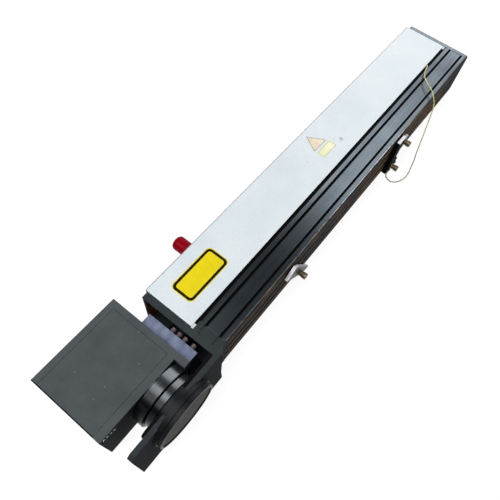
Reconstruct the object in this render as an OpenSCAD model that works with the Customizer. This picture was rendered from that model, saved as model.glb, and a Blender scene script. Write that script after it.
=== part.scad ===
// Laser marking head: a beam-source housing on a T-slot extrusion, a galvo scan head with its
// f-theta lens, and a nose plate with the protective window under the lens.
// It lies on its back: x runs from the front cap to the rear cap, y from the clamp side to the
// lamp side, z from the back up to the lid. The last step centres it on its back face.

/* [Housing] */
// Length over both caps
housing_l = 936; // [800:1:1100]
// Width across the T-slot side and the lamp side
housing_w = 158; // [150:1:180]
// Depth from the back to the lid
housing_h = 107; // [104:1:120]
// Length of the front cap
cap_l = 30; // [28:1:45]
// Thickness of the rear cap plate
rear_t = 10; // [8:1:14]
// Wall of the front opening on the clamp side
cap_floor = 8.5; // [8:0.5:12]
// Wall of the front opening on the lamp side
cap_roof = 5.5; // [4:0.5:10]
// Walls of the front opening towards the lid and the back
cap_side = 5; // [4.5:0.5:8]
// Thickness of the flange that closes the front cap
flange_t = 6; // [4:1:10]
// Corner radius of the rear cap
rear_corner_r = 6; // [2:1:10]

/* [Base extrusion] */
// Height of the T-slot body
base_y = 56.5; // [54:0.5:60]
// First T-slot from the clamp side
slot_first_y = 13.6; // [13:0.1:15]
// Pitch of the T-slots
slot_pitch = 30; // [28:1:32]
// Width of a T-slot mouth
slot_mouth = 5.2; // [4:0.1:6]
// Thickness of a T-slot lip
slot_lip = 2.5; // [2:0.1:3]
// Width of a T-slot behind its lips
slot_core = 11; // [10:0.5:12]
// Depth of a T-slot
slot_depth = 8.5; // [7:0.5:9]
// Width of the clamp slots' mouths
clamp_slot_mouth = 8.4; // [8.4:0.1:9]
// Width of the clamp slots behind their lips
clamp_slot_core = 15; // [14:0.5:17]
// Wall between the slots and the hollow
web_t = 4; // [3:0.5:5]
// Height of the two walls that the lid closes on
upstand_h = 13.5; // [10:0.5:18]
// Thickness of those walls
upstand_t = 4; // [3:0.5:6]
// Radius of the extrusion's long edges
edge_r = 4; // [2:0.5:5]
// Recess of the band between two T-slots
band_recess = 0.7; // [0.3:0.1:1]
// Bore of the four screw channels
channel_r = 2.6; // [2.4:0.1:3]
// Wall round a screw channel
channel_wall = 2.6; // [2:0.1:4]

/* [Lid] */
// Sheet thickness of the lid
lid_t = 1.5; // [1:0.1:2]
// Start of the lid behind the front edge
lid_front = 13.5; // [12.5:0.5:16]
// Gap between the lid and the rear cap
lid_rear_gap = 1; // [0.5:0.5:3]
// Open strip between the extrusion and the lid
lid_strip = 5.2; // [4:0.1:7]
// Overhang of the lid past the lamp side
lid_over = 5.4; // [4:0.1:8]
// Depth of the open strip
strip_depth = 3.5; // [3:0.1:5]
// Outer radius of the lid's folds
fold_r = 2.2; // [1.8:0.1:3]
// Width of the rubber seals
seal_w = 6.3; // [5:0.1:8]
// Thickness of the rubber strip in the open gap
gap_seal_t = 1; // [0.6:0.1:1.6]
// Start of the front end block
block_front = 12; // [10:0.5:12.5]
// Length of an end block
block_l = 9.5; // [6:0.5:12]
// Place of the lock screw along the housing
lock_x = 515; // [400:1:600]
// Place of the lock screw across the housing
lock_y = 91.6; // [86:0.1:100]
// Head radius of the lock screw
lock_head_r = 3.3; // [3:0.1:5]

/* [Lamp] */
// Place of the emission lamp along the housing
lamp_x = 136; // [120:1:200]
// Height of the lamp over the back
lamp_z = 53; // [45:1:60]
// Radius of the red lens
lamp_r = 14.7; // [12:0.1:18]
// Height of the red lens over its collar
lamp_h = 41; // [30:1:50]
// Wall of the red lens
lamp_wall = 1.8; // [1.2:0.1:3]
// Radius of the collar
collar_r = 16.5; // [14:0.5:20]
// Height of the collar
collar_h = 5.5; // [3:0.5:8]
// Radius of the threaded stem through the lid
stem_r = 10; // [6:0.5:11]

/* [Beam] */
// Beam axis over the clamp side
beam_y = 79; // [77:0.5:82]
// Beam axis over the back
beam_z = 41; // [38:0.5:44]
// Radius of the beam's bores
beam_r = 17; // [14:0.5:18]
// Thickness of the optical rail
rail_t = 10; // [8:0.5:11]
// Width of the optical rail
rail_w = 40; // [34:1:46]

/* [Scan head] */
// Gap between the housing and the adapter plate
adapter_gap = 11.5; // [8:0.5:20]
// Thickness of the adapter plate
adapter_t = 20.6; // [15:0.1:26]
// Start of the adapter plate across the head
adapter_y0 = 26.5; // [22:0.5:30]
// Width of the adapter plate
adapter_w = 104.5; // [98:0.5:115]
// Margin of the adapter plate from the back
adapter_z0 = 10; // [6:0.5:14]
// Depth of the adapter plate
adapter_h = 87.5; // [80:0.5:92]
// Thickness of the scanner's mount plate
mount_t = 12.1; // [10:0.1:14]
// Length of the scanner box without the mount plate
box_l = 158.5; // [150:0.5:175]
// Start of the scanner box across the head
box_y0 = 45.6; // [44:0.1:50]
// Thickness of the scanner's base plate
box_base_t = 13.6; // [11:0.1:16]
// Far side of the scanner box
box_y1 = 191.4; // [185:0.1:200]
// Thickness of the scanner's top plate
box_top_t = 12; // [9:0.5:14]
// Depth of the scanner box
box_h = 108.5; // [106:0.5:116]
// Wall of the scanner's cover
box_wall = 3; // [2:0.5:4]
// Start of the mount plate across the head
mount_y0 = 24.1; // [22:0.1:28]
// Groove along the joints of the scanner's cover and of the caps
joint_groove = 0.8; // [0.4:0.1:1.2]
// Thickness of the black end plate
end_t = 2; // [1:0.5:3]

/* [Galvanometers] */
// Radius of a motor body
motor_r = 16; // [14:0.5:17]
// Length of a motor body
motor_l = 62; // [50:1:66]
// Radius of a rotor shaft
shaft_r = 3; // [2:0.5:4]
// Running clearance round a shaft
shaft_fit = 0.05; // [0.03:0.01:0.08]
// Distance between the two mirror axes
mirror_gap = 22.5; // [22:0.5:24]
// Thickness of a mirror
mirror_t = 2.4; // [2:0.1:3]
// Half width of the first mirror
mirror_x_half = 9; // [8:0.5:10]
// Half width of the second mirror
mirror_y_half = 11; // [10:0.5:12]
// Length of the first mirror
mirror_x_l = 26; // [22:1:30]
// Length of the second mirror
mirror_y_l = 36; // [32:1:38]

/* [Lens] */
// Lens axis in front of the housing
lens_back = 92; // [90:1:95]
// Radius of the lens thread
thread_r = 40; // [36:0.5:41]
// Radius of the neck
neck_r = 47; // [45:0.5:50]
// Length of the neck
neck_l = 2.6; // [2:0.1:4]
// Radius of the large lens ring
barrel_r = 56; // [53:0.5:58]
// Length of the large lens ring
barrel_l = 20.6; // [18:0.1:22]
// Radius of the front lens ring
front_r = 51; // [49:0.5:52]
// Gap between the lens and the nose deck
deck_gap = 1; // [0.5:0.1:2]
// Radius of the front glass
glass_r = 45; // [40:0.5:46]
// Bevel on the lens rings
ring_bevel = 1.2; // [0.5:0.1:2]

/* [Nose] */
// Length of the nose deck in front of the housing
deck_l = 160; // [155:1:170]
// Thickness of the nose deck
deck_t = 5.4; // [4:0.1:6]
// Lower face of the deck over the clamp side
deck_y0 = 2.6; // [2:0.1:3]
// Corner radius of the deck
deck_r = 14; // [6:1:30]
// Length of the nose plate in front of the housing
nose_l = 194; // [188:1:205]
// Reach of the nose plate under the front cap
tongue_l = 21; // [18:1:24]
// Lower face of the nose plate at the lid side
nose_low_front = 6.5; // [6:0.5:8]
// Lower face of the nose plate at the back
nose_low_back = 16; // [12:0.5:17]
// Chamfer at the nose plate's free corner
nose_chamfer = 8; // [4:1:12]
// Radius of the openings under the lens
nose_bore_r = 50; // [48:0.5:50]
// Radius of the window ring
ring_r = 63; // [60:0.5:63]
// Far face of the window ring
ring_low = 22.4; // [21:0.1:25]
// Seat of the window ring in the nose plate
ring_seat = 5; // [4:0.5:6]
// Step in the window ring's wall
ring_step = 1.5; // [1:0.1:2]
// Radius of the protective window
window_r = 57; // [54:0.5:58]
// Thickness of the protective window
window_t = 4; // [3:0.5:5]
// Recess of the window in its ring
window_recess = 1.4; // [0.5:0.1:2]

// Thickness of the sheet behind the adapter plate
shield_t = 2; // [1:0.5:4]
// Width of that sheet
shield_w = 37; // [30:1:44]

/* [Clamps] */
// Place of the sliding clamp along the housing
clamp_x = 243; // [210:1:300]
// Thickness of the sliding clamp
clamp_t = 6.5; // [5:0.5:9]
// Width of the sliding clamp's end
clamp_w = 31; // [28:0.5:33]
// Reach of the sliding clamp from its bolt to that end
clamp_reach = 65; // [58:1:66]
// Turn of the sliding clamp on the clamp side
clamp_turn = 44; // [40:1:46]
// Height of the boss that keeps it off the housing
clamp_boss_h = 2.7; // [1:0.1:4]
// Free gap under the sliding clamp
clamp_gap = 0.3; // [0.2:0.1:0.5]
// Start of the bracket along the housing
bracket_x = 590; // [560:1:620]
// Thickness of the bracket
bracket_t = 10; // [8:0.5:12]
// Width of the bracket's bar
bracket_w = 28; // [26:1:30]
// Width of the bracket's foot
bracket_foot_w = 46; // [42:1:50]
// Height of the bracket's foot
bracket_foot_h = 18; // [16:1:22]
// Radius of the arch between foot and bar
bracket_arch_r = 18; // [14:1:20]
// Thickness of the bracket's bright claw
claw_t = 6.5; // [5:0.5:8]
// Width of that claw
claw_w = 35; // [30:1:38]
// Height of that claw
claw_h = 34; // [30:1:36]

/* [Fasteners] */
// Shank radius of a clamp bolt
bolt_r = 4; // [3:0.5:4]
// Head radius of a clamp bolt
bolt_head_r = 6.5; // [6:0.5:7]
// Head height of a clamp bolt
bolt_head_h = 8; // [6:0.5:10]
// Height of the collar under a clamp bolt's head
bolt_collar_h = 7; // [4:0.5:9]
// Shank radius of a machine screw
screw_r = 2.5; // [2:0.1:2.5]
// Head radius of a machine screw
screw_head_r = 4.6; // [4:0.1:5]
// Head height of a machine screw
screw_head_h = 5; // [3:0.5:6]

/* [Hidden] */
$fn = 72;
eps = 0.01;
fit = 0.1;

// Housing places
rear_x = housing_l - rear_t;
lid_rear = rear_x - lid_rear_gap;
lid_y0 = base_y + lid_strip;
lid_y1 = housing_w + lid_over;
lid_in = housing_h - lid_t;
strip_z = housing_h - strip_depth;
seal_t = strip_depth - lid_t;
seal_y1 = lid_y0 + seal_w;
upstand_y1 = base_y + upstand_h;
chamber_z0 = strip_depth + upstand_t;
chamber_z1 = housing_h - chamber_z0;
plug_l = 12;
plug_wall = 5;
slot_ys = [slot_first_y, slot_first_y + slot_pitch];
clamp_slot_zs = [(housing_h - slot_pitch) / 2, (housing_h + slot_pitch) / 2];
hollow_y0 = slot_depth + web_t + 0.5;
hollow_y1 = base_y - web_t - 1;
hollow_z0 = slot_depth + web_t;
hollow_z1 = housing_h - hollow_z0;
channel_out = channel_r + channel_wall;
channel_ys = [hollow_y0 + channel_r, hollow_y1 - channel_r];
channel_zs = [hollow_z0 + channel_r, hollow_z1 - channel_r];
flange_x = cap_l - flange_t;
cap_screw_l = 20;
beam_exit_r = beam_r + 5;

// Laser places
rail_front_gap = 90;
rail_rear_gap = 60;
rail_x0 = cap_l + rail_front_gap;
rail_x1 = rear_x - rail_rear_gap;
rail_y1 = base_y + rail_t;
chamber_x0 = housing_l * 0.45;
chamber_len = 170;
chamber_w = 50;
rod_r = 3;
mirror_plate_t = 12;
mirror_plate_w = 30;
mirror_xs = [housing_l * 0.34, housing_l * 0.84];
disc_r = 8;
disc_t = 5;
aperture_r = 4;
expander_x0 = rail_x0 + 6;
expander_l = 60;
expander_tube_l = 50;
q_switch_l = 70;
q_switch_gap = 40;
shutter_x = housing_l * 0.29;
shutter_z = beam_z + 26;
shutter_shaft_r = 2;
shutter_shaft_in = 12;
flag_t = 2;

// Scan head places
adapter_x1 = -adapter_gap;
adapter_x0 = adapter_x1 - adapter_t;
mount_x0 = adapter_x0 - mount_t;
box_x0 = mount_x0 - box_l;
box_deck_y = box_y0 + box_base_t;
box_roof_y = box_y1 - box_top_t;
mount_y1 = box_roof_y;
lens_x = -lens_back;
lens_z = beam_z + mirror_gap;
tube_r = beam_r + 9;
tube_rim_r = tube_r + 6;
tube_rim_t = 4;
adapter_screw_low = adapter_z0 + 10;
adapter_screw_high = adapter_z0 + adapter_h - 9;
adapter_screw_high_ys = [-39, -21, -8, 5];
adapter_screw_low_ys = [-39, 41];
adapter_screw_places = concat(
    [for (y = adapter_screw_high_ys) [beam_y + y, adapter_screw_high]],
    [for (y = adapter_screw_low_ys) [beam_y + y, adapter_screw_low]]);
adapter_head_l = 9;
adapter_screw_l = adapter_t + mount_t * 0.6;
scanner_screw_places = [for (i = [0:3]) [box_x0 + 6 + i * 6.5, box_h - 6 - i * 1.5]];
board_t = 1.6;
board_w = 62;
board_gap = 12;
board_pitch = 14;

// Galvanometer places
motor_x_y = beam_y + mirror_x_l / 2 + 10;
motor_y_x = lens_x - mirror_y_l / 2 - 8;
motor_seat = 14;
shaft_in = 30;
hub_r = 4.6;
hub_l = 6;
block_wall = 6;
x_reach = motor_x_y - beam_y - mirror_x_l / 2;
y_reach = lens_x - mirror_y_l / 2 - motor_y_x;

// Lens and nose places
neck_y = box_y0 - neck_l;
barrel_y = neck_y - barrel_l;
deck_y1 = deck_y0 + deck_t;
front_y = deck_y1 + deck_gap;
lens_room = 1.5;
window_y = -ring_low + window_recess;
seal_low_t = 1.5;
rear_glass_t = 11;
rear_glass_bulge = 4;
front_glass_t = 12;
front_glass_bulge = 6;
glass_seat = 2;
nose_screw_x = tongue_l / 2;
nose_screw_zs = [housing_h * 0.2, housing_h * 0.8];

// Clamp places
clamp_z = clamp_slot_zs[0];
nut_t = 4.5;
nut_w = clamp_slot_core - 1;
nut_l = 20;
nut_y0 = slot_lip + 0.5;
clamp_face = -clamp_gap - clamp_boss_h;
clamp_seat = clamp_face - clamp_t;
clamp_boss_r = 7;
clamp_foot = 7;
clamp_taper = 10;
claw_margin = 6;
claw_x = bracket_x + bracket_w + 2;
claw_z1 = clamp_slot_zs[1] + claw_margin;
bracket_bolt_x = bracket_x + 24;
bracket_bolt_z = 9;
bracket_screw_gap = 14;
bracket_screw_x = bracket_bolt_x + bracket_screw_gap;
lug_t = 1;
lug_l = 15;

// Earth wire
wire_r = 1.2;
wire_sides = 8;
wire_steps = 3;
wire_exit_back = 88;
wire_reach = 224;
wire_stretch = (rear_x - wire_exit_back - bracket_bolt_x) / wire_reach;
// The wire's way from its hole beside the lid to the lug, with x counted from the bracket's bolt
wire_way = [
    [224, 59, 103.6], [224, 59, 104.6], [224, 59, 105.6], [222.4, 58.5, 107.4], [213, 56, 110.2],
    [192, 51, 113], [176, 44, 115], [162, 32, 117], [151, 18, 118], [142, 7, 117], [134, -2, 113],
    [129, -9, 106], [123, -14, 96], [115, -18, 82], [103, -23, 66], [89, -28, 51], [74, -33, 39],
    [57, -38, 28], [39, -44, 20], [22, -48, 14], [6, -51, 9], [-7, -51, 7], [-20, -47, 6],
    [-31, -40, 5], [-36, -29, 4], [-32, -17, 4], [-23, -12, 4], [-15, -11.9, 5]
];
wire_points = [for (p = wire_way) [bracket_bolt_x + p[0] * wire_stretch, p[1], p[2]]];

// ---------- shapes that repeat ----------

module slab(from, to) {
    translate(from) cube(to - from);
}

module rod_x(r, x0, x1, y, z) {
    translate([x0, y, z]) rotate([0, 90, 0]) cylinder(r = r, h = x1 - x0);
}

module rod_y(r, y0, y1, x, z) {
    translate([x, y0, z]) rotate([-90, 0, 0]) cylinder(r = r, h = y1 - y0);
}

module rod_z(r, z0, z1, x, y) {
    translate([x, y, z0]) cylinder(r = r, h = z1 - z0);
}

// A section drawn in y and z, drawn out along x
module along_x(x0, x1) {
    translate([x0, 0, 0]) rotate([90, 0, 90]) linear_extrude(x1 - x0) children();
}

// A plan drawn in x and z, drawn out along y
module along_y(y0, y1) {
    translate([0, y1, 0]) rotate([90, 0, 0]) linear_extrude(y1 - y0) children();
}

// A profile drawn as radius and y, turned round an axis along y
module turned_y(x, z) {
    translate([x, 0, z]) rotate([-90, 0, 0]) rotate_extrude() children();
}

// A profile drawn as radius and length, turned round an axis along x
module turned_x(y, z) {
    translate([0, y, z]) rotate([0, 90, 0]) rotate_extrude() children();
}

module span(from, to) {
    translate(from) square(to - from);
}

module round_rect(w, h, r) {
    span([r, 0], [w - r, h]);
    span([0, r], [w, h - r]);
    for (x = [r, w - r], y = [r, h - r]) translate([x, y]) circle(r);
}

// A ring with bevelled outer edges, as a profile of radius and height
module ring_profile(r_in, r_out, y0, y1, bevel) {
    polygon([
        [r_in, y0], [r_out - bevel, y0], [r_out, y0 + bevel],
        [r_out, y1 - bevel], [r_out - bevel, y1], [r_in, y1]
    ]);
}

// A T-slot that opens at y = 0, as an outline
module t_slot(mouth, core, depth) {
    span([-mouth / 2, -eps], [mouth / 2, depth / 2]);
    span([-core / 2, slot_lip], [core / 2, depth]);
}

// A socket head screw along z: the head's seat is at 0 and the shank runs to l
module cap_screw(r, l, head_r, head_h) {
    socket_r = r * 0.95;
    difference() {
        union() {
            cylinder(r = r, h = l);
            translate([0, 0, -head_h]) cylinder(r = head_r, h = head_h);
        }
        translate([0, 0, -head_h - eps]) cylinder(r = socket_r, h = head_h * 0.55, $fn = 6);
    }
}

// Both faces of the head, towards the back and towards the lid
module both_faces() {
    children();
    translate([0, 0, housing_h]) mirror([0, 0, 1]) children();
}

// A round hole's row of places
module at_places(xs, ys, zs) {
    for (x = xs, y = ys, z = zs) translate([x, y, z]) children();
}

// ---------- housing ----------

module base_section() {
    difference() {
        union() {
            round_rect(base_y, housing_h, edge_r);
            for (z = [strip_depth, strip_z - upstand_t])
                span([base_y - edge_r, z], [upstand_y1, z + upstand_t]);
        }
        difference() {
            span([hollow_y0, hollow_z0], [hollow_y1, hollow_z1]);
            span([hollow_y0, housing_h / 2 - web_t / 2], [hollow_y1, housing_h / 2 + web_t / 2]);
            for (y = channel_ys, z = channel_zs) translate([y, z]) circle(channel_out);
        }
        for (y = channel_ys, z = channel_zs) translate([y, z]) circle(channel_r);
        for (y = slot_ys) translate([y, 0]) t_slot(slot_mouth, slot_core, slot_depth);
        for (y = slot_ys) translate([y, housing_h]) mirror([0, 1]) t_slot(slot_mouth, slot_core, slot_depth);
        for (z = [-eps, housing_h - band_recess])
            span([slot_first_y, z], [slot_first_y + slot_pitch, z + band_recess + eps]);
        for (z = clamp_slot_zs) translate([0, z]) rotate(-90)
            t_slot(clamp_slot_mouth, clamp_slot_core, slot_depth);
    }
}

module base_extrusion() {
    color("#2c3338") difference() {
        along_x(cap_l, rear_x) base_section();
        rod_y(bolt_r + fit, -eps, slot_first_y, bracket_bolt_x, bracket_bolt_z);
    }
}

module front_cap() {
    color("#3c4043") difference() {
        slab([0, 0, 0], [cap_l, housing_w, housing_h]);
        slab([-eps, cap_floor, cap_side], [flange_x, housing_w - cap_roof, housing_h - cap_side]);
        rod_x(beam_exit_r, 0, cap_l + eps, beam_y, beam_z);
        both_faces() {
            slab([lid_front, lid_y0, -eps], [cap_l + eps, housing_w + eps, lid_t]);
            slab([block_front, base_y, -eps], [cap_l + eps, seal_y1, strip_depth]);
            for (y = slot_ys)
                slab([block_front, y - slot_mouth / 2, -eps], [cap_l + eps, y + slot_mouth / 2, slot_lip]);
        }
        for (y = channel_ys, z = channel_zs) rod_x(screw_r + fit, 0, cap_l + eps, y, z);
        slab([cap_l - joint_groove, -eps, -eps], [cap_l + eps, joint_groove, housing_h + eps]);
        both_faces() slab([cap_l - joint_groove, -eps, -eps], [cap_l + eps, base_y, joint_groove]);
        nose_screw_holes();
    }
}

module front_cap_screws() {
    color("#8d9094") for (y = channel_ys, z = channel_zs)
        translate([flange_x, y, z]) rotate([0, 90, 0])
            cap_screw(screw_r, cap_screw_l, screw_head_r, screw_head_h);
}

module rear_cap() {
    color("#4a4e52") difference() {
        union() {
            along_x(rear_x, housing_l) round_rect(housing_w, housing_h, rear_corner_r);
            slab([rear_x - plug_l, upstand_y1, lid_t], [rear_x + eps, housing_w, lid_in]);
        }
        slab([rear_x - plug_l - eps, upstand_y1 + plug_wall, lid_t + plug_wall],
            [rear_x, housing_w - plug_wall, lid_in - plug_wall]);
        slab([rear_x - eps, -eps, -eps], [rear_x + joint_groove, joint_groove, housing_h + eps]);
        both_faces() slab([rear_x - eps, -eps, -eps], [rear_x + joint_groove, base_y, joint_groove]);
        for (y = channel_ys, z = channel_zs) {
            rod_x(screw_r + fit, rear_x - eps, housing_l + eps, y, z);
            rod_x(screw_head_r + 0.4, housing_l - screw_head_h, housing_l + eps, y, z);
        }
    }
}

module rear_cap_screws() {
    color("#8d9094") for (y = channel_ys, z = channel_zs)
        translate([housing_l - screw_head_h, y, z]) rotate([0, -90, 0])
            cap_screw(screw_r, cap_screw_l, screw_head_r, screw_head_h);
}

// ---------- lid ----------

module lid_section() {
    difference() {
        union() {
            span([lid_y0, 0], [lid_y1 - fold_r, housing_h]);
            span([lid_y0, fold_r], [lid_y1, housing_h - fold_r]);
            for (z = [fold_r, housing_h - fold_r]) translate([lid_y1 - fold_r, z]) circle(fold_r);
        }
        span([lid_y0 - eps, lid_t], [lid_y1 - lid_t, lid_in]);
    }
}

module lid() {
    color("#dfe6ec") difference() {
        along_x(lid_front, lid_rear) lid_section();
        rod_y(stem_r + fit, lid_y1 - lid_t - eps, lid_y1 + eps, lamp_x, lamp_z);
        rod_z(screw_r + fit, lid_in - eps, housing_h + eps, lock_x, lock_y);
    }
}

module lid_seals() {
    color("#15171a") {
        both_faces() slab([lid_front, lid_y0, lid_t], [lid_rear, seal_y1, strip_depth]);
        difference() {
            both_faces() slab([block_front + block_l, base_y + fit, strip_depth - gap_seal_t],
                [rear_x - block_l, lid_y0 + eps, strip_depth]);
            rod_z(wire_r * 2 + fit, strip_z - eps, housing_h, wire_points[0][0], wire_points[0][1]);
        }
        slab([lid_front, housing_w, lid_t], [cap_l, lid_y1 - lid_t, lid_in]);
        slab([rear_x - plug_l, housing_w, lid_t], [lid_rear, lid_y1 - lid_t, lid_in]);
    }
}

module lid_end_blocks() {
    block_w = lid_strip - 2 * fit;
    color("#e9ebec") both_faces() for (x = [block_front, rear_x - block_l])
        slab([x, base_y + fit, lid_t * 0.6], [x + block_l, base_y + fit + block_w, strip_depth]);
}

module lid_bracket() {
    half = 11;
    foot = 8;
    color("#9aa0a5") difference() {
        along_x(lock_x - half, lock_x + half) {
            span([base_y, chamber_z1 - foot], [lock_y + foot, chamber_z1]);
            span([upstand_y1, chamber_z1 - eps], [lock_y + foot, lid_in]);
        }
        rod_z(screw_r + fit, chamber_z1 - foot - eps, housing_h, lock_x, lock_y);
    }
}

module lid_screw() {
    head_h = 1.8;
    color("#c9ccd0") translate([lock_x, lock_y, housing_h]) mirror([0, 0, 1])
        cap_screw(screw_r, lid_t + upstand_t, lock_head_r, head_h);
}

// ---------- emission lamp ----------

module lamp_base() {
    stem_l = 9;
    nut_h = 4;
    nut_r = stem_r + 4;
    color("#1b1c1e") turned_y(lamp_x, lamp_z) {
        span([0, lid_y1 - lid_t - nut_h - stem_l / 3], [stem_r, lid_y1 + eps]);
        span([0, lid_y1 - lid_t - nut_h], [nut_r, lid_y1 - lid_t]);
        ring_profile(0, collar_r, lid_y1, lid_y1 + collar_h, 1);
    }
}

module lamp_shape(r, h, dome) {
    span([0, 0], [r, h - dome]);
    span([0, 0], [r - dome, h]);
    translate([r - dome, h - dome]) circle(dome);
}

module lamp_lens() {
    dome = 8;
    color("#a5062a") turned_y(lamp_x, lamp_z) translate([0, lid_y1 + collar_h]) difference() {
        lamp_shape(lamp_r, lamp_h, dome);
        translate([0, -eps]) lamp_shape(lamp_r - lamp_wall, lamp_h - lamp_wall, dome - lamp_wall);
        span([-lamp_r, -1], [0, lamp_h]);
    }
}

module lamp_bulb() {
    bulb_r = 6;
    socket_r = 5;
    socket_h = 12;
    color("#d8cfc0") turned_y(lamp_x, lamp_z) translate([0, lid_y1 + collar_h]) {
        span([0, 0], [socket_r, socket_h]);
        span([0, socket_h - eps], [bulb_r, socket_h + 8]);
    }
}

// ---------- laser inside the housing ----------

module optical_rail() {
    color("#777d82") slab([rail_x0, base_y, beam_z - rail_w / 2], [rail_x1, rail_y1, beam_z + rail_w / 2]);
}

module pump_chamber() {
    color("#b9a15a") difference() {
        slab([chamber_x0, rail_y1, beam_z - chamber_w / 2],
            [chamber_x0 + chamber_len, beam_y + chamber_w / 2, beam_z + chamber_w / 2]);
        rod_x(rod_r + fit, chamber_x0 - eps, chamber_x0 + chamber_len + eps, beam_y, beam_z);
    }
}

module laser_rod() {
    color("#c79be0") rod_x(rod_r, chamber_x0 - disc_t, chamber_x0 + chamber_len + disc_t, beam_y, beam_z);
}

module q_switch() {
    x0 = mirror_xs[1] - q_switch_gap - q_switch_l;
    half = 18;
    color("#6c7278") difference() {
        slab([x0, rail_y1, beam_z - half], [x0 + q_switch_l, beam_y + half, beam_z + half]);
        rod_x(aperture_r, x0 - eps, x0 + q_switch_l + eps, beam_y, beam_z);
    }
}

module mirror_mounts() {
    color("#50565b") for (x = mirror_xs) difference() {
        slab([x, rail_y1, beam_z - mirror_plate_w / 2],
            [x + mirror_plate_t, beam_y + mirror_plate_w / 2, beam_z + mirror_plate_w / 2]);
        rod_x(aperture_r, x - eps, x + mirror_plate_t + eps, beam_y, beam_z);
        rod_x(disc_r + fit, x - eps, x + disc_t, beam_y, beam_z);
    }
}

module cavity_mirrors() {
    color("#d7ccb0") for (x = mirror_xs) rod_x(disc_r, x, x + disc_t, beam_y, beam_z);
}

module beam_expander() {
    small_r = 8;
    large_r = beam_y - rail_y1;
    x1 = expander_x0 + expander_l;
    color("#24272a") turned_x(beam_y, beam_z) difference() {
        union() {
            span([0, expander_x0], [large_r, x1]);
            span([0, expander_x0], [small_r, x1 + expander_tube_l]);
        }
        span([-large_r, expander_x0 - eps], [aperture_r, x1 + expander_tube_l + 1]);
    }
}

module shutter_solenoid() {
    body_l = 26;
    half = 13;
    color("#8b6f3a") difference() {
        slab([shutter_x - body_l, rail_y1, shutter_z - half], [shutter_x, beam_y + half, shutter_z + half]);
        rod_x(shutter_shaft_r + shaft_fit, shutter_x - body_l / 2, shutter_x + eps, beam_y, shutter_z);
    }
}

module shutter_flag() {
    gap = 1;
    arm_w = 8;
    flag_r = 7;
    color("#b5b9bd") {
        rod_x(shutter_shaft_r, shutter_x - shutter_shaft_in, shutter_x + gap + flag_t, beam_y, shutter_z);
        slab([shutter_x + gap, beam_y - arm_w / 2, beam_z], [shutter_x + gap + flag_t, beam_y + arm_w / 2, shutter_z]);
        rod_x(flag_r, shutter_x + gap, shutter_x + gap + flag_t, beam_y, beam_z);
    }
}

// ---------- scan head ----------

module beam_tube() {
    color("#17191b") turned_x(beam_y, beam_z) difference() {
        union() {
            span([0, adapter_x1], [tube_rim_r + 4, adapter_x1 + tube_rim_t]);
            span([0, adapter_x1], [tube_r, flange_x]);
            span([0, flange_x - tube_rim_t], [tube_rim_r, flange_x]);
        }
        span([-tube_r, adapter_x1 - eps], [beam_r, flange_x + eps]);
    }
}

module adapter_plate() {
    color("#8a93bd") difference() {
        slab([adapter_x0, adapter_y0, adapter_z0], [adapter_x1, adapter_y0 + adapter_w, adapter_z0 + adapter_h]);
        rod_x(beam_r, adapter_x0 - eps, adapter_x1 + eps, beam_y, beam_z);
        for (p = adapter_screw_places) rod_x(screw_r + fit, adapter_x0 - eps, adapter_x1 + eps, p[0], p[1]);
    }
}

module adapter_screws() {
    color("#b9b3b8") for (p = adapter_screw_places)
        translate([adapter_x1, p[0], p[1]]) rotate([0, -90, 0])
            cap_screw(screw_r, adapter_screw_l, screw_head_r, adapter_head_l);
}

module scanner_mount_plate() {
    color("#44474a") difference() {
        slab([mount_x0, mount_y0, 0], [adapter_x0, mount_y1, box_h]);
        rod_x(beam_r, mount_x0 - eps, adapter_x0 + eps, beam_y, beam_z);
        for (p = adapter_screw_places)
            rod_x(screw_r + fit, adapter_x1 - adapter_screw_l - fit, adapter_x0 + eps, p[0], p[1]);
        rod_y(barrel_r + lens_room, mount_y0 - eps, box_y0, lens_x, lens_z);
    }
}

module scanner_top_plate() {
    color("#484b4e") slab([box_x0, box_roof_y, 0], [adapter_x0, box_y1, box_h]);
}

module scanner_base_plate() {
    color("#3f4245") difference() {
        slab([box_x0 - end_t, box_y0, 0], [mount_x0, box_deck_y, box_h]);
        rod_y(thread_r, box_y0 - eps, box_deck_y + eps, lens_x, lens_z);
        for (p = scanner_screw_places) rod_y(screw_r * 0.6 + fit, box_y0 - eps, box_deck_y - 2, p[0], p[1]);
    }
}

module scanner_cover() {
    color("#46494b") difference() {
        slab([box_x0, box_deck_y, 0], [mount_x0, box_roof_y, box_h]);
        slab([box_x0 + box_wall, box_deck_y - eps, box_wall], [mount_x0 + eps, box_roof_y + eps, box_h - box_wall]);
        for (z = [-eps, box_h - joint_groove]) {
            for (y = [box_deck_y - eps, box_roof_y - joint_groove])
                slab([box_x0 - eps, y, z], [mount_x0 + eps, y + joint_groove + eps, z + joint_groove + eps]);
            slab([mount_x0 - joint_groove, box_deck_y - eps, z],
                [mount_x0 + eps, box_roof_y + eps, z + joint_groove + eps]);
        }
    }
}

module scanner_end_plate() {
    color("#0e0f10") slab([box_x0 - end_t, box_deck_y, 0], [box_x0, box_y1, box_h]);
}

module scanner_screws() {
    head_r = 2;
    head_h = 1;
    color("#c4c7ca") for (p = scanner_screw_places)
        translate([p[0], box_y0, p[1]]) rotate([-90, 0, 0])
            cap_screw(screw_r * 0.6, box_base_t / 2, head_r, head_h);
}

// ---------- galvanometers ----------

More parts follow.
